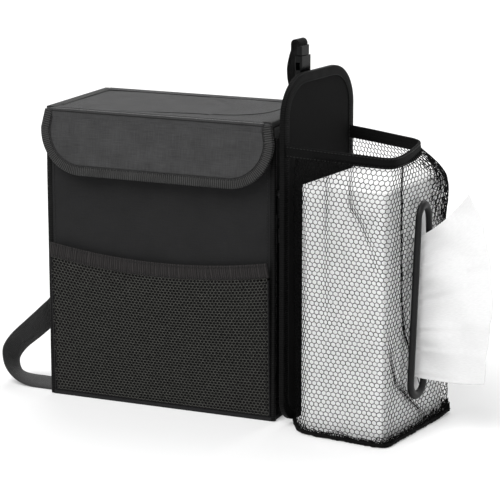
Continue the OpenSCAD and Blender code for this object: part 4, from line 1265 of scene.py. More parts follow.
class BIN_OT_pockets(bpy.types.Operator):
    """Builds the front net pocket, the two side pockets and their elastic bands"""
    bl_idname = "trash_bin.pockets"
    bl_label = "Pockets"

    def execute(self, context):
        self.front()
        self.sides()
        return {"FINISHED"}

    def front(self):
        """The net pocket on the front, its sagging elastic band, its seams and its hem."""
        foot = node_box("front_pocket")[0][2]
        height, half, sagging, band_half = 150.0, POCKET_HALF, 10.0, 7
        lean = math.asin(5.4 / height)
        lean_cos, lean_sin = math.cos(lean), math.sin(lean)
        sag_r = (half ** 2 + sagging ** 2) / (2 * sagging)

        def face(x, up, off):
            return (x, -HALF_D - off * lean_cos - up * lean_sin, foot + up * lean_cos - off * lean_sin)

        def sag(x):
            return sag_r - math.sqrt(sag_r ** 2 - x ** 2)

        def top_of(x):
            return height - sagging + sag(x) - 14.0 * 0.98

        def middle_of(x):
            return height - sagging + sag(x) - band_half

        def bulge(x, up):
            edge = crown(x / half, 2) * math.sin(math.pi * min(1.0, up / height))
            return edge * (1.5 + 1.4 * ripple(x, up, 0, 75, 6.0)) + 0.25 * ripple(x, up, 0, 17, 1.0)
        rows = []
        for j in range(46):
            row = []
            for x in np.linspace(-half + 0.8, half - 0.8, 90):
                up = 0.4 + (top_of(x) + 1.6) * j / 45
                row.append(face(x, up, 0.9 + max(0.0, bulge(x, up))))
            rows.append(row)
        net = pocket_netted("front_pocket_netting", rows, 2 * half - 1.6, 131, "pocket_net")
        finish_piece(net, "pocket_net", "bin", ["front_pocket"])
        # a cloth sheet close behind the strands, darker than the wall cloth: painted shade inside the pocket.
        # With the side strips it closes the pocket's face and its two sides
        rows = [(0.8 + (height - 18.8) * j / 30, -half + 1.2, half - 1.2) for j in range(31)]
        back = panel(
            "front_pocket_backing", rows, 60, lambda x, up, d: face(x, min(up, top_of(x) + 3), d),
            0.35, -0.25, 0.3, lambda x, up: max(0.0, bulge(x, up)) * 0.92, 1.0)
        finish_piece(back, "pocket_back", "bin")
        for side, hand in HANDS:
            outer, inner = side * (half - 0.1), side * (half - 1.1)
            rings = []
            for up in np.linspace(0.5, height - 17, 40):
                y0, y1, z = -HALF_D - 0.1, -HALF_D - 1.2 - up * math.tan(lean), foot + up
                rings.append([(outer, y0, z), (outer, y1, z), (inner, y1, z), (inner, y0, z)])
            finish_piece(loft("pocket_side_cloth_" + hand, rings), "wall")
        # the sagging elastic band
        xs = np.linspace(-half, half, 160)
        path, inward = [], []
        for x in xs:
            slope = x / math.sqrt(sag_r ** 2 - x ** 2)
            middle, off = middle_of(x), 0.9 + 0.7 * crown(x / half, 2)
            path.append(face(x, middle, off))
            above = np.array(face(x, middle + 1, off))
            inward.append(unit(above - np.array(path[-1]) - np.array((slope, 0, 0))))
        profile = [
            (-7, 0), (-6.8, 0.6), (-6, 1.0), (-5.2, 0.85), (-3, 0.95), (0, 1.0), (3, 0.95), (5.2, 0.85),
            (6, 1.0), (6.8, 0.6), (7, 0), (6.6, -0.8), (3, -0.9), (0, -0.9), (-3, -0.9), (-6.6, -0.8)]
        band = swept("front_pocket_elastic", path, inward, alike((0, -lean_cos, -lean_sin), path), profile)
        finish_piece(band, "elastic", "bin", ["front_pocket_band"])
        lines = []
        for row in (-5.2, 5.2):
            lines.append([face(x, middle_of(x) + row, 2.05 + 0.7 * crown(x / half, 2)) for x in xs[2:-2]])
        for side, hand in HANDS:
            lines.append([face(side * (half - 3), up, 1.6) for up in np.linspace(4, height - 16, 50)])
        lines.append([face(x, 4, 1.6) for x in np.linspace(-half + 3, half - 3, 80)])
        stitched("front_pocket_stitches", lines)
        path = [face(x, 0.8, 0.8) for x in xs]
        sewn_line("front_pocket_hem", path, alike(UP, path), alike((0, -1, 0), path), (0.8, 0.7, 12), "bin",
                  "piping")

    def sides(self):
        """The close net pockets on the two side walls."""
        for side, name in HANDS:
            low, high = node_box(name + "_pocket")
            band_low, band_high = node_box(name + "_pocket_band")
            y0, y1 = low[1] + 0.4, high[1] - 0.4
            foot, top = low[2], band_low[2]

            def spot(y, z, off):
                return (side * (HALF_W + off), y * side, z)

            rows = []
            for z in np.linspace(foot + 1, top + 1, 56):
                row = []
                for y in np.linspace(y0, y1, 44):
                    edge = crown((2 * y - y0 - y1) / (y1 - y0), 4)
                    row.append(spot(y, z, 1.5 + edge * (0.55 + 0.3 * ripple(y, z, 0, 30, side))))
                rows.append(row)
            # the side pocket's netting, backing and elastic take the darker side finishes: painted shade
            net = pocket_netted(name + "_pocket_netting", rows, y1 - y0, top - foot, "side_net")
            finish_piece(net, "side_net", "bin", [name + "_pocket"])
            rows = corner_rows(foot + 0.6, top + 2, 0, 0, y0 + 0.4, y1 - 0.4, 7.0)
            back = panel(name + "_pocket_backing", rows, 18, lambda y, z, d: spot(y, z, 1.0 + d),
                         0.4, -0.5, 0.4)
            finish_piece(back, "side", "bin")
            profile = [(-6.9, 0.1), (-6.6, 0.9), (-5.4, 0.8), (0, 0.95), (5.4, 0.8), (6.6, 0.9), (6.9, 0.1),
                       (6.6, -0.8), (0, -0.9), (-6.6, -0.8)]
            z = (band_low[2] + band_high[2]) / 2
            path = np.array([spot(y, z, 1.3) for y in np.linspace(y0 - 0.3, y1 + 0.3, 70)])
            band = swept(name + "_pocket_elastic", path, alike(UP, path), alike((side, 0, 0), path), profile)
            finish_piece(band, "side_elastic", "bin", [name + "_pocket_band"])
            lines = [[spot(y, z + row, 2.3) for y in np.linspace(y0 + 1, y1 - 1, 40)] for row in (-5.2, 5.2)]
            for y in (y0 + 2.5, y1 - 2.5):
                lines.append([spot(y, h, 2.1) for h in np.linspace(foot + 4, top - 3, 60)])
            lines.append([spot(y, foot + 4, 2.1) for y in np.linspace(y0 + 3, y1 - 3, 40)])
            stitched(name + "_pocket_stitches", lines)


# The side strap's loop in side view: x off the wall, z, and how far it leans in degrees
STRAP_LINE = [
    (0, 118, 0), (0, 100, 12), (-4, 85, 28), (-16, 71, 38), (-32.1, 56, 38), (-48.2, 42, 34), (-57.1, 31, 31),
    (-59.5, 23, 29), (-57.5, 13.5, 24), (-52, 7.5, 16), (-42.8, 3.4, 7), (-30.9, 1.4, 1), (-17.9, 0.9, 0),
    (1.4, 0.9, 0)]


class BIN_OT_side_strap(bpy.types.Operator):
    """Builds the webbing loop at the lower left and the two side tabs"""
    bl_idname = "trash_bin.side_strap"
    bl_label = "Side strap and tabs"

    def execute(self, context):
        face = HALF_W + 1 + 1.2 + 0.9
        fine = smooth_line([(-face + x, z, lean) for x, z, lean in STRAP_LINE], 2.0)
        lean = np.radians(fine[:, 2])
        y = -HALF_D + 8 + 19
        none = np.zeros(len(fine))
        path = np.stack([fine[:, 0], np.full(len(fine), y), np.maximum(fine[:, 1], 0.95)], axis=1)
        across = np.stack([none, np.cos(lean), -np.sin(lean)], axis=1)
        flat = np.gradient(path, axis=0)
        facing = unit(np.stack([-flat[:, 2], none, flat[:, 0]], axis=1))
        wave = 0.35 * np.array([ripple(0, 0, i * 2.0, 24, 3.0) for i in range(len(path))])
        path[:, 0] += wave * np.clip(path[:, 2] / 30, 0, 1)
        strap = ribbon("side_strap_webbing", path, across, facing, 38.0, 1.8)
        finish_piece(strap, "strap", "bin", ["side_strap"])
        wall = -face - 1.15
        box = [(y - 15, 113), (y + 15, 113), (y + 15, 127), (y - 15, 127), (y - 15, 113), (y + 15, 127)]
        cross = [(y + 15, 113), (y - 15, 127)]
        lines = [even_line([(wall, a, z) for a, z in corners], 2.0) for corners in (box, cross)]
        stitched("side_strap_stitches", lines)
        for side, hand in HANDS:
            self.tab(side, hand + "_tab")
        return {"FINISHED"}

    def tab(self, side, name):
        """A short strap sewn to the wall at its two ends, open behind its middle."""
        low, high = node_box(name)
        z0, z1 = low[2], high[2]
        middle = (low[1] + high[1]) / 2
        shape = smooth_line([
            (0.65, z0 + 0.2), (0.65, z0 + 2.6), (2.0, z0 + 4.0), (3.0, z0 + 6.0), (3.1, (z0 + z1) / 2),
            (3.0, z1 - 6.0), (2.0, z1 - 4.0), (0.65, z1 - 2.6), (0.65, z1 - 0.2)], 0.7)
        path = np.array([(side * (HALF_W + x), middle, z) for x, z, _ in shape])
        across = np.array((0.0, 1.0, 0.0))
        tab = ribbon(name + "_webbing", path, across, facing_of(path, across), 28.0, 1.2)
        finish_piece(tab, "strap", "bin", [name])
        lines = []
        for z in (z0 + 0.9, z0 + 2.3, z1 - 0.9, z1 - 2.3):
            lines.append([(side * (HALF_W + 1.35), y, z) for y in np.linspace(middle - 12, middle + 12, 12)])
        stitched(name + "_stitches", lines)


# ---------------------------------------------------------------- tissue holder

def board_rows(inset, step=7.0):
    """Rows of the holder's board, drawn in by an inset."""
    return corner_rows(BOARD_FOOT + inset, BOARD_TOP - inset, BOARD_LOW_R - inset, BOARD_R - inset, inset,
                       BOARD_W - inset, step)


def board_outline(inset, step=1.4):
    """The board's edge, counter-clockwise from its low front corner."""
    corners = (
        (BOARD_W - BOARD_LOW_R, BOARD_FOOT + BOARD_LOW_R, BOARD_LOW_R),
        (BOARD_W - BOARD_R, BOARD_TOP - BOARD_R, BOARD_R),
        (BOARD_R, BOARD_TOP - BOARD_R, BOARD_R),
        (BOARD_LOW_R, BOARD_FOOT + BOARD_LOW_R, BOARD_LOW_R),
    )
    spots = []
    for k, (cs, cz, r) in enumerate(corners):
        for i in range(25):
            a = math.radians(90 * k - 90 + 90 * i / 24)
            spots.append((cs + (r - inset) * math.cos(a), cz + (r - inset) * math.sin(a)))
    spots.append(spots[0])
    return even_line(spots, step)[:-1]


class BIN_OT_board(bpy.types.Operator):
    """Builds the holder's board, its tape and the webbing that hangs it on the bin"""
    bl_idname = "trash_bin.board"
    bl_label = "Holder board"

    def execute(self, context):
        def dome(s, z):
            edge = crown((s - 65.5) / 62, 6) * crown((z - 169) / 160, 8)
            return edge * (0.3 + 0.3 * ripple(s, z, 0, 60, 8.0))
        board = panel("holder_board_cloth", board_rows(2.2), 36, lambda s, z, d: on_holder(d, s, z), -0.1,
                      -BOARD_T + 0.1, 1.6, dome)
        finish_piece(board, "board", "bin", ["holder_board"])
        line = board_outline(0.8)
        path = [on_holder(-BOARD_T / 2, s, z) for s, z in line]
        inward = [(-ns * TURN_SIN, -ns * TURN_COS, -nz) for ns, nz in outline_normals(line, True)]
        off = alike((TURN_COS, -TURN_SIN, 0), path)
        tape = swept("board_tape_cloth", path, inward, off, tape_profile(8.2, 2.0, -2.0, 0.75, 0.8), True)
        finish_piece(tape, "dark_tape", "bin", ["board_tape"])
        seam = board_outline(8.6)
        seam = np.vstack([seam, seam[:1]])
        lines = [[on_holder(n, s, z) for s, z in seam] for n in (0.75, -BOARD_T - 0.75)]
        stitched("board_stitches", lines)
        self.link()
        return {"FINISHED"}

    def link(self):
        """The strap that hangs the board on the bin's right tab."""
        low, high = node_box("link_strap")
        z = (low[2] + high[2]) / 2
        tunnel = HALF_W + 1.2
        face = -BOARD_T - 0.7
        path = even_line([
            on_holder(face, 11, z), on_holder(face, 21, z), (tunnel, -HALF_D + 4, z),
            (tunnel, -HALF_D + 36, z), on_holder(face, 66, z), on_holder(face, 78, z)], 1.5)
        up = np.array((0.0, 0.0, 1.0))
        link = ribbon("link_strap_webbing", path, up, facing_of(path, up), high[2] - low[2], 1.3)
        finish_piece(link, "black_strap", "bin", ["link_strap"])
        lines = []
        for s in (13, 19, 68, 76):
            lines.append([on_holder(face - 0.75, s, z + dz) for dz in np.linspace(-6, 6, 8)])
        stitched("link_stitches", lines)


# The rim of the holder's mouth in plan, from the board round and back to it: n and s
RIM_LINE = [
    (0, 1.5), (17, 2.2), (36, 4.2), (64, 7.6), (84, 9.9), (94, 11.2), (100, 13.2), (103.6, 17.2), (105, 24),
    (104.4, 34.5), (102.4, 47.5), (99.4, 63), (93, 88), (90, 97), (86, 104.5), (79, 109.8), (70, 112.6),
    (40, 119.5), (0, 127)]


def rim_plan(out):
    """Plan of the rim from the board, round the pocket and back, in the holder's frame."""
    line = smooth_line(RIM_LINE, 1.6)[:, :2]
    return line + outline_normals(line, False) * out


def wall_plan(out):
    """Plan of the netting's foot: off the board, along the outer wall and back to the board."""
    line = [(0, NET_S0 - out)]
    for s, start in ((NET_S0 + 8, 270), (NET_S1 - 8, 0)):
        for a in np.linspace(start, start + 90, 9):
            turn = math.radians(a)
            line.append((NET_N - 8 + (8 + out) * math.cos(turn), s + (8 + out) * math.sin(turn)))
    line.append((0, NET_S1 + out))
    return np.array(line)


def divided(line, counts):
    """A line with each of its parts cut into a given number of steps."""
    spots = []
    for (a, b), n in zip(zip(line, line[1:]), counts):
        spots += [a + (b - a) * i / n for i in range(n)]
    spots.append(line[-1])
    return np.array(spots)


# Steps along each part of wall_plan's line
PLAN_COUNTS = [44] + [1] * 8 + [48] + [1] * 8 + [44]


def rim_height(n):
    """Height of the rim's top edge at a distance off the board."""
    return RIM_AT - n * math.tan(RIM_SLOPE)


def tightened(n, s):
    """Draws the netting in to the carton at the pocket's far corner."""
    far = rise(s, 90, 35) ** 2
    return n - 4.2 * far * rise(n, 60, 40), s - 3.8 * rise(s, 100, 30)


# Lines along which the netting is bunched: heights, places along its width, and how strongly
GATHERS = (
    ((90, 130, 170, 223, 262), (47.5, 47.5, 47, 46.5, 46), (0.0, 0.7, 1.1, 1.5, 1.1)),
    ((150, 185, 206, 223, 262), (104, 94, 84, 72, 68), (0.0, 0.8, 1.6, 2.0, 1.6)),
    ((30, 60, 79, 103, 132, 262), (182, 166, 156, 141, 135.5, 132), (0.0, 0.8, 1.8, 2.4, 2.4, 2.0)),
    ((-40, 14, 29, 57, 90, 160), (215, 184, 161, 126, 112, 106), (0.8, 1.7, 2.0, 1.8, 0.8, 0.0)),
    ((-40, 22, 40, 68, 120), (210, 172, 146, 120, 108), (0.6, 1.4, 1.5, 1.0, 0.0)),
    ((-40, 120, 300), (24, 23, 22), (1.0, 1.2, 1.0)),
)


def slanted(n, s, z):
    """Draws the netting's front wall off the board at a slant, round the carton's near corner."""
    if n < 32 and s < 40:
        s += (27 - 6 * min(1.0, z / 229)) * ((32 - n) / 32) ** 2.04
    return s


def net_spot(rows, even, run, z):
    """The place on the netting at a distance along its width and a height."""
    at = np.interp(z, rows[:, 0, 2], np.arange(len(rows)))
    low = min(int(at), len(rows) - 2)
    pair = [np.array([np.interp(run, even, rows[low + k, :, axis]) for axis in range(3)]) for k in range(2)]
    return pair[0] + (pair[1] - pair[0]) * (at - low)


def net_surface(z_from, step, first=0.0, last=1.0, off=0.0, columns=190):
    """The netting as rows of points, drawn in from the walls to the rim, with its bulge and its gathers."""
    low, high = divided(wall_plan(-0.6 + off), PLAN_COUNTS), rim_plan(-0.4 + off)
    lengths, rim_lengths = line_lengths(low), line_lengths(high)
    even = np.linspace(first * lengths[-1], last * lengths[-1], columns)
    low = np.stack([np.interp(even, lengths, low[:, k]) for k in range(2)], axis=1)
    corners = []
    for spot in ((103.6, 17.2), (86, 104.5)):
        corners.append(rim_lengths[np.argmin(np.linalg.norm(high - np.array(spot), axis=1))])
    along = np.interp(even, [0, 107.5, 242, lengths[-1]], [0, *corners, rim_lengths[-1]])
    high = np.stack([np.interp(along, rim_lengths, high[:, k]) for k in range(2)], axis=1)
    drawn = np.array([tightened(n, s) for n, s in low])
    rows = []
    for share in np.linspace(0, 1, int((256 - z_from) / step)):
        row = []
        for run, a, taut, b in zip(even, low, drawn, high):
            top = rim_height(b[0]) - RIM_H * 0.55
            z = z_from + (top - z_from) * share
            mix = rise(z, NET_TOP - 7, top - NET_TOP + 7) ** 1.5
            a = a + (taut - a) * rise(z, 130, 50)
            spot = a + (b - a) * mix
            spot[1] = slanted(spot[0], spot[1], z)
            out = np.array((0.0, -1.0) if run < 105 else (1.0, 0.0) if run < 240 else (0.0, 1.0))
            puff = 2.6 * hump(z, 218, 19) * hump(run, 234, 22)
            pull = -1.2 * hump(run, 60, 4) * math.sin(math.pi * min(1, z / 250)) - 0.9 * hump(run, 128, 4)
            fade = min(1.0, z / 30) * (1 - mix)
            sway = 0.9 * ripple(run, z, 0, 26, 11.0) + 0.45 * ripple(run, z, 0, 9, 3.0)
            spot = spot + out * (puff + fade * (pull * 0.6 + max(-1.0, sway)))
            if puff > 0.05:
                spot = spot + np.array((0.0, 1.0)) * puff * 0.35 * hump(run, 244, 14)
            row.append(on_holder(spot[0], spot[1], z))
        rows.append(row)
    return np.array(rows), even


def net_columns(even, heights, crowd=1.0):
    """The netting's map along its width, row by row: open on the outer wall, crowded on the gathers."""
    spread = np.interp(even, [0, 95, 118, 135, 200, 225, 245, 300, 350],
                       [1.0, 1.0, 0.85, 0.66, 0.66, 0.9, 1.05, 1.25, 1.3])
    rows = []
    for z in heights:
        thick = spread.copy()
        for levels, runs, strengths in GATHERS:
            fold = np.interp(z, levels, runs) + 1.5 * ripple(z, runs[0], 0, 26, 4.0)
            thick += np.interp(z, levels, strengths) * np.exp(-((even - fold) / 2.4) ** 2)
        steps = np.diff(even) * (thick[1:] + thick[:-1]) / 2
        rows.append(np.concatenate(([0], np.cumsum(steps))) * crowd)
    return np.array(rows)


def in_slot(point, grow=0.0):
    """True if a point of the outer netting lies in the tissue slot."""
    n, s = off_holder(point[0], point[1])
    if n < 95:
        return False
    ds, dz = s - RING_S, point[2] - RING_Z
    across = ds * math.cos(RING_LEAN) - dz * math.sin(RING_LEAN)
    along = ds * math.sin(RING_LEAN) + dz * math.cos(RING_LEAN)
    past = max(0.0, abs(along) - RING_STRAIGHT / 2)
    return math.hypot(across, past) < RING_BEND + grow


def off_fan(point):
    """True outside the fan of doubled netting, which opens upwards from the far corner."""
    n, s = off_holder(point[0], point[1])
    z = point[2]
    near = np.interp(z, [182, 205, 240], [101, 90, 60]) + 5.0 * ripple(point[0], point[1], z, 9, 5.0)
    low = np.interp(n, [55, 80, 100], [236, 214, 182]) + 5.0 * ripple(n, s, 0, 8, 6.0)
    return in_slot(point) or s < near or z < low


class BIN_OT_netting(bpy.types.Operator):
    """Builds the tissue pocket's netting, its rim band and its hem"""
    bl_idname = "trash_bin.netting"
    bl_label = "Holder netting"

    def execute(self, context):
        nets = context.scene.bin_netting
        rows, even = net_surface(3.0, 2.6, columns=240)
        columns = net_columns(even, rows[:, 0, 2])
        tall = rows[-1, 0, 2] - rows[0, 0, 2]
        net = netted("holder_netting", rows, columns.max(), tall, nets.strand, "net", 0.0009,
                     in_slot, columns)
        finish_piece(net, "net", "bin",
                     ["net_front", "net_outer", "net_back", "net_shoulder"])
        self.bundles(rows, even)
        self.doubled(nets)
        self.foot(nets)
        self.rim()
        self.hem()
        return {"FINISHED"}

    def bundles(self, rows, even):
        """Where the netting is drawn together, its strands run side by side in loose bundles."""
        bundles = [
            ((196, 223, 262), GATHERS[0][1][2:], 0.2, 1),
            ((190, 206, 223, 262), (91, 84, 72, 68), 0.22, 1),
            (GATHERS[2][0], GATHERS[2][1], 0.3, 2),
            (GATHERS[3][0][1:4], GATHERS[3][1][1:4], 0.2, 2),
        ]
        for k in range(9):
            runs = (180 + 7.0 * k, 185 + 6.8 * k, 196 + 5.4 * k, 214 + 2.8 * k)
            bundles.append(((176, 200, 225, 252), runs, 0.26 + 0.1 * (k % 3), 1))
        pieces = []
        for at, (levels, runs, r, count) in enumerate(bundles):
            for k in range(count):
                path = []
                for z in np.arange(max(4.0, levels[0]), min(252.0, levels[-1]), 1.6):
                    run = np.interp(z, levels, runs) + 1.4 * (k - (count - 1) / 2)
                    path.append(net_spot(rows, even, run + 2.6 * ripple(z, 9 * k, 7 * at, 13, 3.0), z))
                path = [p for p in path if not in_slot(p, 4.0)]
                if len(path) > 6:
                    pieces.append((np.array(path), r, 5.0 * at + k))
        ring = round_section(1, 1, 6)
        points, faces = [], []
        for path, r, seed in pieces:
            t = unit(np.gradient(path, axis=0))
            out = unit(np.cross(t, np.array((0.6, 0.8, 0.0))))
            side = np.cross(t, out)
            start = len(points)
            for i, p in enumerate(path):
                fade = min(1.0, 0.25 + i / 6, 0.25 + (len(path) - 1 - i) / 6)
                wide = r * fade * (1 + 0.9 * ripple(p[0], p[1], p[2], 5, seed))
                points += [p + out[i] * a * wide + side[i] * b * wide for a, b in ring]
            last = len(points) - 6
            for at in range(start, last, 6):
                for k in range(6):
                    m = (k + 1) % 6
                    faces.append((at + k, at + m, at + 6 + m, at + 6 + k))
            faces.append(tuple(start + k for k in range(5, -1, -1)))
            faces.append(tuple(last + k for k in range(6)))
        bundled = make_piece("holder_netting_bundles", points, faces)
        finish_piece(bundled, "net", "bin")

    def doubled(self, nets):
        """The second layer of netting at the far corner, which fans out upwards."""
        rows, even = net_surface(3.0, 2.6, 0.55, 0.71, 0.6, 70)
        z = rows[:, 0, 2]
        rows = rows[(z > 182) & (z < 254)]
        for row in rows:
            for i, spot in enumerate(row):
                sway = 2.2 * ripple(i * 3.0, spot[2], 3.0, 11, 3.0)
                row[i] = spot + np.array((sway * 0.6 - 1.0, sway * 0.3, 0.0))
        columns = net_columns(even, rows[:, 0, 2], 0.68)
        tall = 0.75 * (rows[-1, 0, 2] - rows[0, 0, 2])
        net = netted("holder_netting_doubled", rows, columns.max(), tall, nets.strand, "net",
                     0.0016, off_fan, columns)
        finish_piece(net, "net")

    def foot(self, nets):
        """The netting under the carton."""
        rows = []
        for n in np.linspace(2, NET_N - 2, 40):
            near = slanted(n, NET_S0 + 1, 0) + 1
            rows.append([on_holder(n, s, 1.0) for s in np.linspace(near, NET_S1 - 5, 46)])
        net = netted("holder_netting_foot", rows, NET_S1 - NET_S0 - 2, NET_N - 4, nets.strand,
                     "net")
        finish_piece(net, "net", "bin", ["net_base"])

    def rim(self):
        """Webbing round the mouth, with its two rows of stitches."""
        line = rim_plan(-1.1)
        path, out, up = [], [], []
        for run, (n, s), (a, b) in zip(line_lengths(line), line, outline_normals(line, False)):
            tall = np.interp(run, [0, 60, 95, 118, 140, 160], [0.94, 0.92, 0.86, 0.84, 0.92, 1.0])
            z = rim_height(n) - RIM_H / 2 * tall + 0.3 * ripple(n, s, 0, 30, 2.0)
            tilt = math.tan(math.radians(np.interp(run, [0, 95, 120, 200, 240, 330], [-2, 0, 3, 10, 6, 0])))
            x, y = a * TURN_COS + b * TURN_SIN, b * TURN_COS - a * TURN_SIN
            path.append(on_holder(n, s, z))
            out.append(np.array((x, y, 0.0)))
            up.append(unit(np.array((-x * tilt, -y * tilt, 1.0))) * tall)
        profile = [(-6, -0.6), (-5.6, -1.1), (0, -1.15), (5.6, -1.1), (6, -0.6), (6.1, 0.5), (5.6, 1.1),
                   (4.6, 0.95), (0, 1.1), (-4.6, 0.95), (-5.6, 1.1), (-6.1, 0.5)]
        band = swept("rim_webbing", path, up, out, profile)
        finish_piece(band, "rim", "bin", ["rim_band"])
        lines = []
        for row in (-4.4, 4.4):
            lines.append([p + u * row + o * 1.15 for p, u, o in zip(path, up, out)][2:-2])
        stitched("rim_stitches", lines)

    def hem(self):
        """Gathered hem round the pocket's foot, lifted a little at its two ends."""
        line = divided(wall_plan(1.0), PLAN_COUNTS)
        line = even_line([(n, slanted(n, s, 0)) for n, s in line], 0.9)
        normal = outline_normals(line, False)
        rings = []
        for (n, s), (a, b) in zip(line, normal):
            lift = 3.0 * max(0.0, 1 - n / 26) if s < 60 else 2.5 * rise(s, 100, 30)
            ring = []
            for i in range(16):
                t = 2 * math.pi * i / 16
                x, y = math.cos(t), math.sin(t)
                lump = 1 + 0.55 * ripple(n + 3 * x, s + 3 * y, i * 0.4, 2.6, 5.0)
                lump += 0.25 * ripple(n, s, i * 0.3, 9, 2.0)
                off, up = 1.6 * lump * x, 2.0 * lump * y
                ring.append(on_holder(n + a * off, s + b * off, max(0.1, 2.3 + up + lift)))
            rings.append(ring)
        hem = loft("holder_hem", rings)
        finish_piece(hem, "rim", "bin", ["net_hem"])
        self.ruffles(line, normal)

    def ruffles(self, line, normal):
        """Two gathered layers of netting that stand on the hem."""
        even = line_lengths(line)
        nets = bpy.context.scene.bin_netting
        for name, out, tall in (("inner", 0.6, 9.0), ("outer", 1.7, 6.5)):
            rows = []
            for z in np.linspace(0.7, tall, 7):
                row = []
                for run, (n, s), (a, b) in zip(even, line, normal):
                    end = rise(s, 70, 50) * rise(n, 90, 10)
                    off = out - 1.0 + 0.9 * ripple(run, z, 0, 5, out)
                    up = z * (1 + 0.9 * end) * (0.85 + 0.4 * ripple(run, 0, 0, 12, out))
                    row.append(on_holder(n + a * off, s + b * off, up))
                rows.append(row)
            net = netted("holder_hem_ruffle_" + name, rows, even[-1] * 1.9, tall * 1.5, nets.strand * 1.1,
                         "net", 0.0022)
            finish_piece(net, "net", "bin")


class BIN_OT_slot_ring(bpy.types.Operator):
    """Builds the moulded ring round the tissue slot"""
    bl_idname = "trash_bin.slot_ring"
    bl_label = "Slot ring"

    def execute(self, context):
        line = []
        for end, start in ((1, 0), (-1, 180)):
            for a in np.linspace(0, 180, 33):
                turn = math.radians(start + a)
                across, along = RING_BEND * math.cos(turn), RING_BEND * math.sin(turn)
                line.append((across, end * RING_STRAIGHT / 2 + along))
        line.append(line[0])
        line = even_line(line, 1.5)[:-1]
        c, k = math.cos(RING_LEAN), math.sin(RING_LEAN)
        rings = []
        for (p, q), (a, b) in zip(line, outline_normals(line, True)):
            ring = []
            for i in range(20):
                t = 2 * math.pi * i / 20
                wide, deep = 4.2 * math.cos(t), (3.5 if math.sin(t) > 0 else 2.4) * math.sin(t)
                along = q + b * wide
                pinch = 1 - 0.24 * rise(along, 30, 50) ** 1.5
                across = (p + a * wide + RING_BEND) * pinch - RING_BEND
                s = RING_S + across * c + along * k
                z = RING_Z - across * k + along * c
                ring.append(on_holder(RING_N + deep, s, z))
            rings.append(ring)
        ring = loft("slot_ring_moulding", rings, closed_path=True)
        finish_piece(ring, "ring", "bin", ["slot_ring"])
        return {"FINISHED"}


# The tissue's free edge: share of the way up it, n and z
TISSUE_EDGE = (
    (0, 0.2, 0.4, 0.55, 0.75, 0.88, 1),
    (179.5, 180.5, 183.6, 183, 177.5, 170, 158),
    (56.5, 86, 119, 151, 186, 210, 229.5),
)


def tissue_point(v, u):
    """A point of the drawn tissue: v up its gathered edge, u out of the slot to its free edge."""
    n0, z0 = 101.0, 54 + 129 * v
    n1, z1 = (np.interp(v, TISSUE_EDGE[0], edge) for edge in TISSUE_EDGE[1:])
    n = n0 + (n1 - n0) * u
    z = z0 + (z1 - z0) * u ** (1 + 0.5 * v) - 3.0 * (1 - v) ** 3 * math.sin(math.pi * u)
    fold = 6.0 * u ** 1.2 * math.sin(2 * math.pi * (0.9 * v + 0.2) + 1.6 * u)
    pleat = math.sin(2 * math.pi * (1.9 * v + 0.5 * v * v) + 3.2 * u)
    fold += 2.4 * math.sin(math.pi * min(1.0, 1.4 * u)) * pleat
    fold += 1.5 * (1 - u) ** 3 * math.sin(v * 61 + 3 * ripple(v * 9, 0, 0, 1)) * min(1.0, 4 * u + 0.3)
    soft, fine = ripple(n, v * 120, z, 34, 4.0), ripple(n, v * 200, z, 16, 8.0)
    fold += 4.2 * u * (1 - 0.5 * u) * soft + 0.5 * u * fine
    edge = 0.8 * u ** 5 * math.sin(v * 31 + 2 * ripple(v * 40, 0, 0, 3))
    s = RING_S - 2.5 + (z - RING_Z) * math.tan(RING_LEAN) * 0.6 + fold
    return on_holder(n - 0.6 * fold * u + edge, s, z - 0.25 * fold * u)


class BIN_OT_tissue(bpy.types.Operator):
    """Builds the carton's finish and the tissue drawn out of the slot"""
    bl_idname = "trash_bin.tissue"
    bl_label = "Carton and tissue"

    def execute(self, context):
        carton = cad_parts["tissue_box"]
        carton.data.materials.clear()
        carton.data.materials.append(FINISHES["carton"])
        rows, cols = 72, 150
        grid = []
        for j in range(rows + 1):
            grid.append([tissue_point(i / cols, j / rows) for i in range(cols + 1)])
        grid = np.array(grid)
        across = np.gradient(grid, axis=1)
        out = np.gradient(grid, axis=0)
        normal = unit(np.cross(across, out)) * 0.22
        size = (rows + 1) * (cols + 1)
        points = np.concatenate([(grid + normal).reshape(-1, 3), (grid - normal).reshape(-1, 3)])
        span = cols + 1
        faces = []
        for j in range(rows):
            for i in range(cols):
                a = j * span + i
                faces.append((a, a + 1, a + span + 1, a + span))
                faces.append((size + a, size + a + span, size + a + span + 1, size + a + 1))
        rim = list(range(cols)) + [j * span + cols for j in range(rows)]
        rim += [rows * span + i for i in range(cols, 0, -1)] + [j * span for j in range(rows, 0, -1)]
        for a, b in zip(rim, rim[1:] + rim[:1]):
            faces.append((a, size + a, size + b, b))
        lengths_u = np.linspace(0, 70, rows + 1)
        lengths_v = np.linspace(0, 180, cols + 1)
        uv = np.stack(np.meshgrid(lengths_v, lengths_u, indexing="xy"), axis=-1).reshape(-1, 2)
        tissue = make_piece("drawn_tissue", points, faces, np.concatenate([uv, uv]))
        finish_piece(tissue, "tissue", "bin", ["tissue_sheet"])
        return {"FINISHED"}


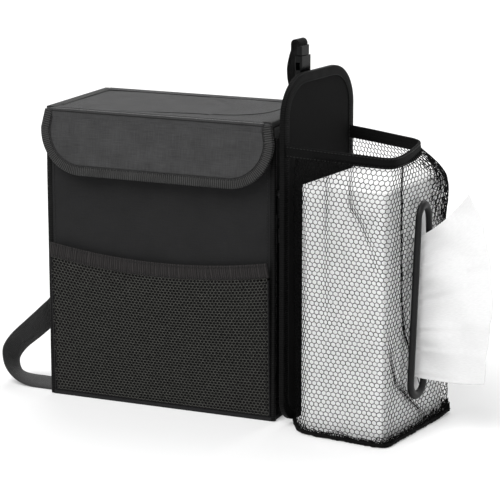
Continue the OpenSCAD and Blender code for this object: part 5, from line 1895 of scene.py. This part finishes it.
class BIN_OT_hanging_strap(bpy.types.Operator):
    """Builds the hanging strap above the board and its side-release buckle"""
    bl_idname = "trash_bin.hanging_strap"
    bl_label = "Hanging strap"

    def execute(self, context):
        across = np.array((TURN_SIN, TURN_COS, 0.0))

        def strand(name, points, node, body):
            fine = smooth_line(points, 1.2)
            path = np.array([on_holder(n, HANG_S, z) for n, z, _ in fine])
            obj = ribbon(name, path, across, facing_of(path, across), HANG_W, HANG_T, 0.5)
            return finish_piece(obj, "black_strap", body, [node])
        face = -BOARD_T - 1.6
        near, far = BUCKLE_N - BUCKLE_SHIFT, STRAND_N - BUCKLE_SHIFT
        strand("hanging_strap_anchor", [
            (face, 250), (face, 280), (face, 300), (-8.6, 310), (near, 317), (near, SOCKET_Z + 1)],
            "strap_anchor", "bin")
        loose = strand("hanging_strap_return", [
            (face - 1.5, 255), (face - 1.6, 275), (face - 3, 289), (-15, 301), (-22.5, 315), (-24.5, 329),
            (-22.8, 340), (far, 348)], "strap_return", None)
        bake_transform(loose)
        middle, r = (near + far) / 2, (near - far) / 2
        top = [(far, 348), (far, 350.5)]
        for a in range(180, -1, -20):
            top.append((middle + r * math.cos(math.radians(a)), 353.6 + r * math.sin(math.radians(a))))
        top.append((near, 351.6))
        strand("hanging_strap_fold", top, "strap_fold", "plug")
        lines = []
        for z in (257.5, 263):
            lines.append([on_holder(face - 2.45, s, z) for s in np.linspace(HANG_S - 8, HANG_S + 8, 10)])
        stitched("hanging_strap_stitches", lines)
        self.buckle()
        return {"FINISHED"}

    def buckle(self):
        """The two halves keep the part's shape, a little slimmer, with a moulded finish and soft edges."""
        halves = (("buckle_socket", "bin", 0.88, 1.0), ("buckle_plug", "plug", 0.74, 0.74))
        for node, body, narrow, thin in halves:
            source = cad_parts[node]
            obj = source.copy()
            obj.data = source.data.copy()
            obj.name = node + "_moulding"
            obj.data.name = obj.name
            bpy.context.scene.collection.objects.link(obj)
            for key in list(obj.keys()):
                del obj[key]
            obj.parent = None
            work = bmesh.new()
            work.from_mesh(obj.data)
            bmesh.ops.remove_doubles(work, verts=work.verts, dist=1e-6)
            bmesh.ops.dissolve_limit(work, angle_limit=math.radians(2), verts=work.verts, edges=work.edges)
            for vert in work.verts:
                n, s = off_holder(vert.co.x / MM, vert.co.y / MM)
                n, s = BUCKLE_N + (n - BUCKLE_N) * thin - BUCKLE_SHIFT, HANG_S + (s - HANG_S) * narrow
                vert.co = Vector(on_holder(n, s, vert.co.z / MM) * MM)
            work.to_mesh(obj.data)
            work.free()
            soften = obj.modifiers.new("soft edges", "BEVEL")
            soften.width = 0.0006
            soften.segments = 2
            soften.limit_method = "ANGLE"
            soften.angle_limit = math.radians(35)
            bpy.context.view_layer.update()
            mesh = bpy.data.meshes.new_from_object(obj.evaluated_get(bpy.context.evaluated_depsgraph_get()))
            obj.modifiers.clear()
            obj.data = mesh
            mesh.name = obj.name
            mesh.polygons.foreach_set("use_smooth", np.zeros(len(mesh.polygons), bool))
            finish_piece(obj, "buckle", body, [node])


# ---------------------------------------------------------------- stage

class BIN_OT_stage(bpy.types.Operator):
    """Sets the pale floor, the soft lamps and the camera"""
    bl_idname = "trash_bin.stage"
    bl_label = "Stage"

    def execute(self, context):
        scene, stage = context.scene, context.scene.bin_stage
        scene.view_settings.view_transform = "Standard"
        floor_mesh = bpy.data.meshes.new("floor")
        reach = 14.0
        corners = [(-reach, -reach, 0), (reach, -reach, 0), (reach, reach, 0), (-reach, reach, 0)]
        floor_mesh.from_pydata(corners, [], [(0, 1, 2, 3)])
        floor = new_object("floor", floor_mesh)
        floor.location.z = -0.0002
        floor_mesh.materials.append(self.floor_finish())
        self.room(stage.world)
        self.lamp("key_lamp", (-0.45, -1.7, 2.1), 45, stage.key)
        self.lamp("top_lamp", (0.0, 1.35, 1.95), 48, stage.top)
        self.lamp("fill_lamp", (2.1, -1.2, 1.0), 60, stage.fill)
        self.place_camera()
        return {"FINISHED"}

    def place_camera(self):
        """A long lens, a little above the bin and to its right."""
        data = bpy.data.cameras.new("camera")
        data.lens = 164.0
        data.sensor_width = 36.0
        data.clip_start = 0.05
        data.clip_end = 60
        camera = new_object("camera", data)
        camera.location = (0.92397, -1.94895, 0.64226)
        camera.rotation_euler = (math.radians(76.94), 0, math.radians(23.73))
        bpy.context.scene.camera = camera

    def room(self, strength):
        """Even light from all round, with a full white for the camera and for reflections."""
        world = bpy.data.worlds.new("studio")
        world.use_nodes = True
        bpy.context.scene.world = world
        world.node_tree.nodes.clear()
        add, calc = tree_nodes(world.node_tree)
        rays = add("ShaderNodeLightPath").outputs
        seen = calc("MAXIMUM", rays["Is Camera Ray"], rays["Is Glossy Ray"])
        seen = calc("MAXIMUM", seen, rays["Is Transmission Ray"])
        dim, full = (add("ShaderNodeBackground", {"Color": (1, 1, 1, 1), "Strength": light}).outputs[0]
                     for light in (strength, 1.0))
        mix = add("ShaderNodeMixShader", {0: seen, 1: dim, 2: full})
        add("ShaderNodeOutputWorld", {0: mix.outputs[0]})

    def floor_finish(self):
        """A matt floor, a little brighter to the camera than the light that falls on it makes it."""
        material = bpy.data.materials.new("pale floor")
        material.use_nodes = True
        tree = material.node_tree
        add, _ = tree_nodes(tree)
        surface = tree.nodes["Principled BSDF"]
        surface.inputs["Base Color"].default_value = (0.85, 0.85, 0.85, 1)
        surface.inputs["Roughness"].default_value = 0.9
        surface.inputs["Specular IOR Level"].default_value = 0.1
        shade = add("ShaderNodeBsdfDiffuse", {"Color": (0.72, 0.72, 0.72, 1)})
        glow = add("ShaderNodeEmission", {"Color": (1, 1, 1, 1), "Strength": 0.22})
        seen = add("ShaderNodeAddShader", {0: shade.outputs[0], 1: glow.outputs[0]})
        looked_at = add("ShaderNodeLightPath").outputs["Is Camera Ray"]
        either = add("ShaderNodeMixShader", {0: looked_at, 1: surface.outputs[0], 2: seen.outputs[0]})
        tree.links.new(either.outputs[0], tree.nodes["Material Output"].inputs["Surface"])
        return material

    def lamp(self, name, place, spread, strength):
        """A far lamp as wide in the sky as its spread in degrees, so that its shadows are soft."""
        data = bpy.data.lights.new(name, "SUN")
        data.energy = strength
        data.angle = math.radians(spread)
        obj = new_object(name, data)
        obj.location = place
        obj.rotation_euler = (-Vector(place)).to_track_quat("-Z", "Y").to_euler()


class BIN_PT_panel(bpy.types.Panel):
    """Lists the pieces and their settings"""
    bl_label = "Trash bin"
    bl_idname = "BIN_PT_panel"
    bl_space_type = "VIEW_3D"
    bl_region_type = "UI"
    bl_category = "Trash Bin"

    def draw(self, context):
        layout = self.layout
        for name in GROUPS:
            group = getattr(context.scene, name)
            box = layout.box()
            for setting in group.bl_rna.properties.keys():
                if setting not in ("rna_type", "name"):
                    box.prop(group, setting)
        for operator in PIECES:
            layout.operator(operator.bl_idname)


PIECES = (
    BIN_OT_walls, BIN_OT_lid, BIN_OT_flap, BIN_OT_pockets, BIN_OT_side_strap, BIN_OT_board, BIN_OT_netting,
    BIN_OT_slot_ring, BIN_OT_tissue, BIN_OT_hanging_strap, BIN_OT_stage)
GROUPS = {
    "bin_cloth": ClothSettings, "bin_netting": NettingSettings, "bin_stitches": StitchSettings,
    "bin_stage": StageSettings}


def register():
    for name, group in GROUPS.items():
        bpy.utils.register_class(group)
        setattr(bpy.types.Scene, name, bpy.props.PointerProperty(type=group))
    for operator in PIECES:
        bpy.utils.register_class(operator)
    bpy.utils.register_class(BIN_PT_panel)


def unregister():
    bpy.utils.unregister_class(BIN_PT_panel)
    for operator in reversed(PIECES):
        bpy.utils.unregister_class(operator)
    for name, group in GROUPS.items():
        delattr(bpy.types.Scene, name)
        bpy.utils.unregister_class(group)


def main():
    register()
    make_finishes(bpy.context.scene.bin_cloth)
    TREES.update(netting=netting_tree(), stitches=stitch_tree())
    bpy.ops.trash_bin.walls()
    bpy.ops.trash_bin.lid()
    bpy.ops.trash_bin.flap()
    bpy.ops.trash_bin.pockets()
    bpy.ops.trash_bin.side_strap()
    bpy.ops.trash_bin.board()
    bpy.ops.trash_bin.netting()
    bpy.ops.trash_bin.slot_ring()
    bpy.ops.trash_bin.tissue()
    bpy.ops.trash_bin.hanging_strap()
    bpy.ops.trash_bin.stage()


if __name__ == "__main__":
    main()
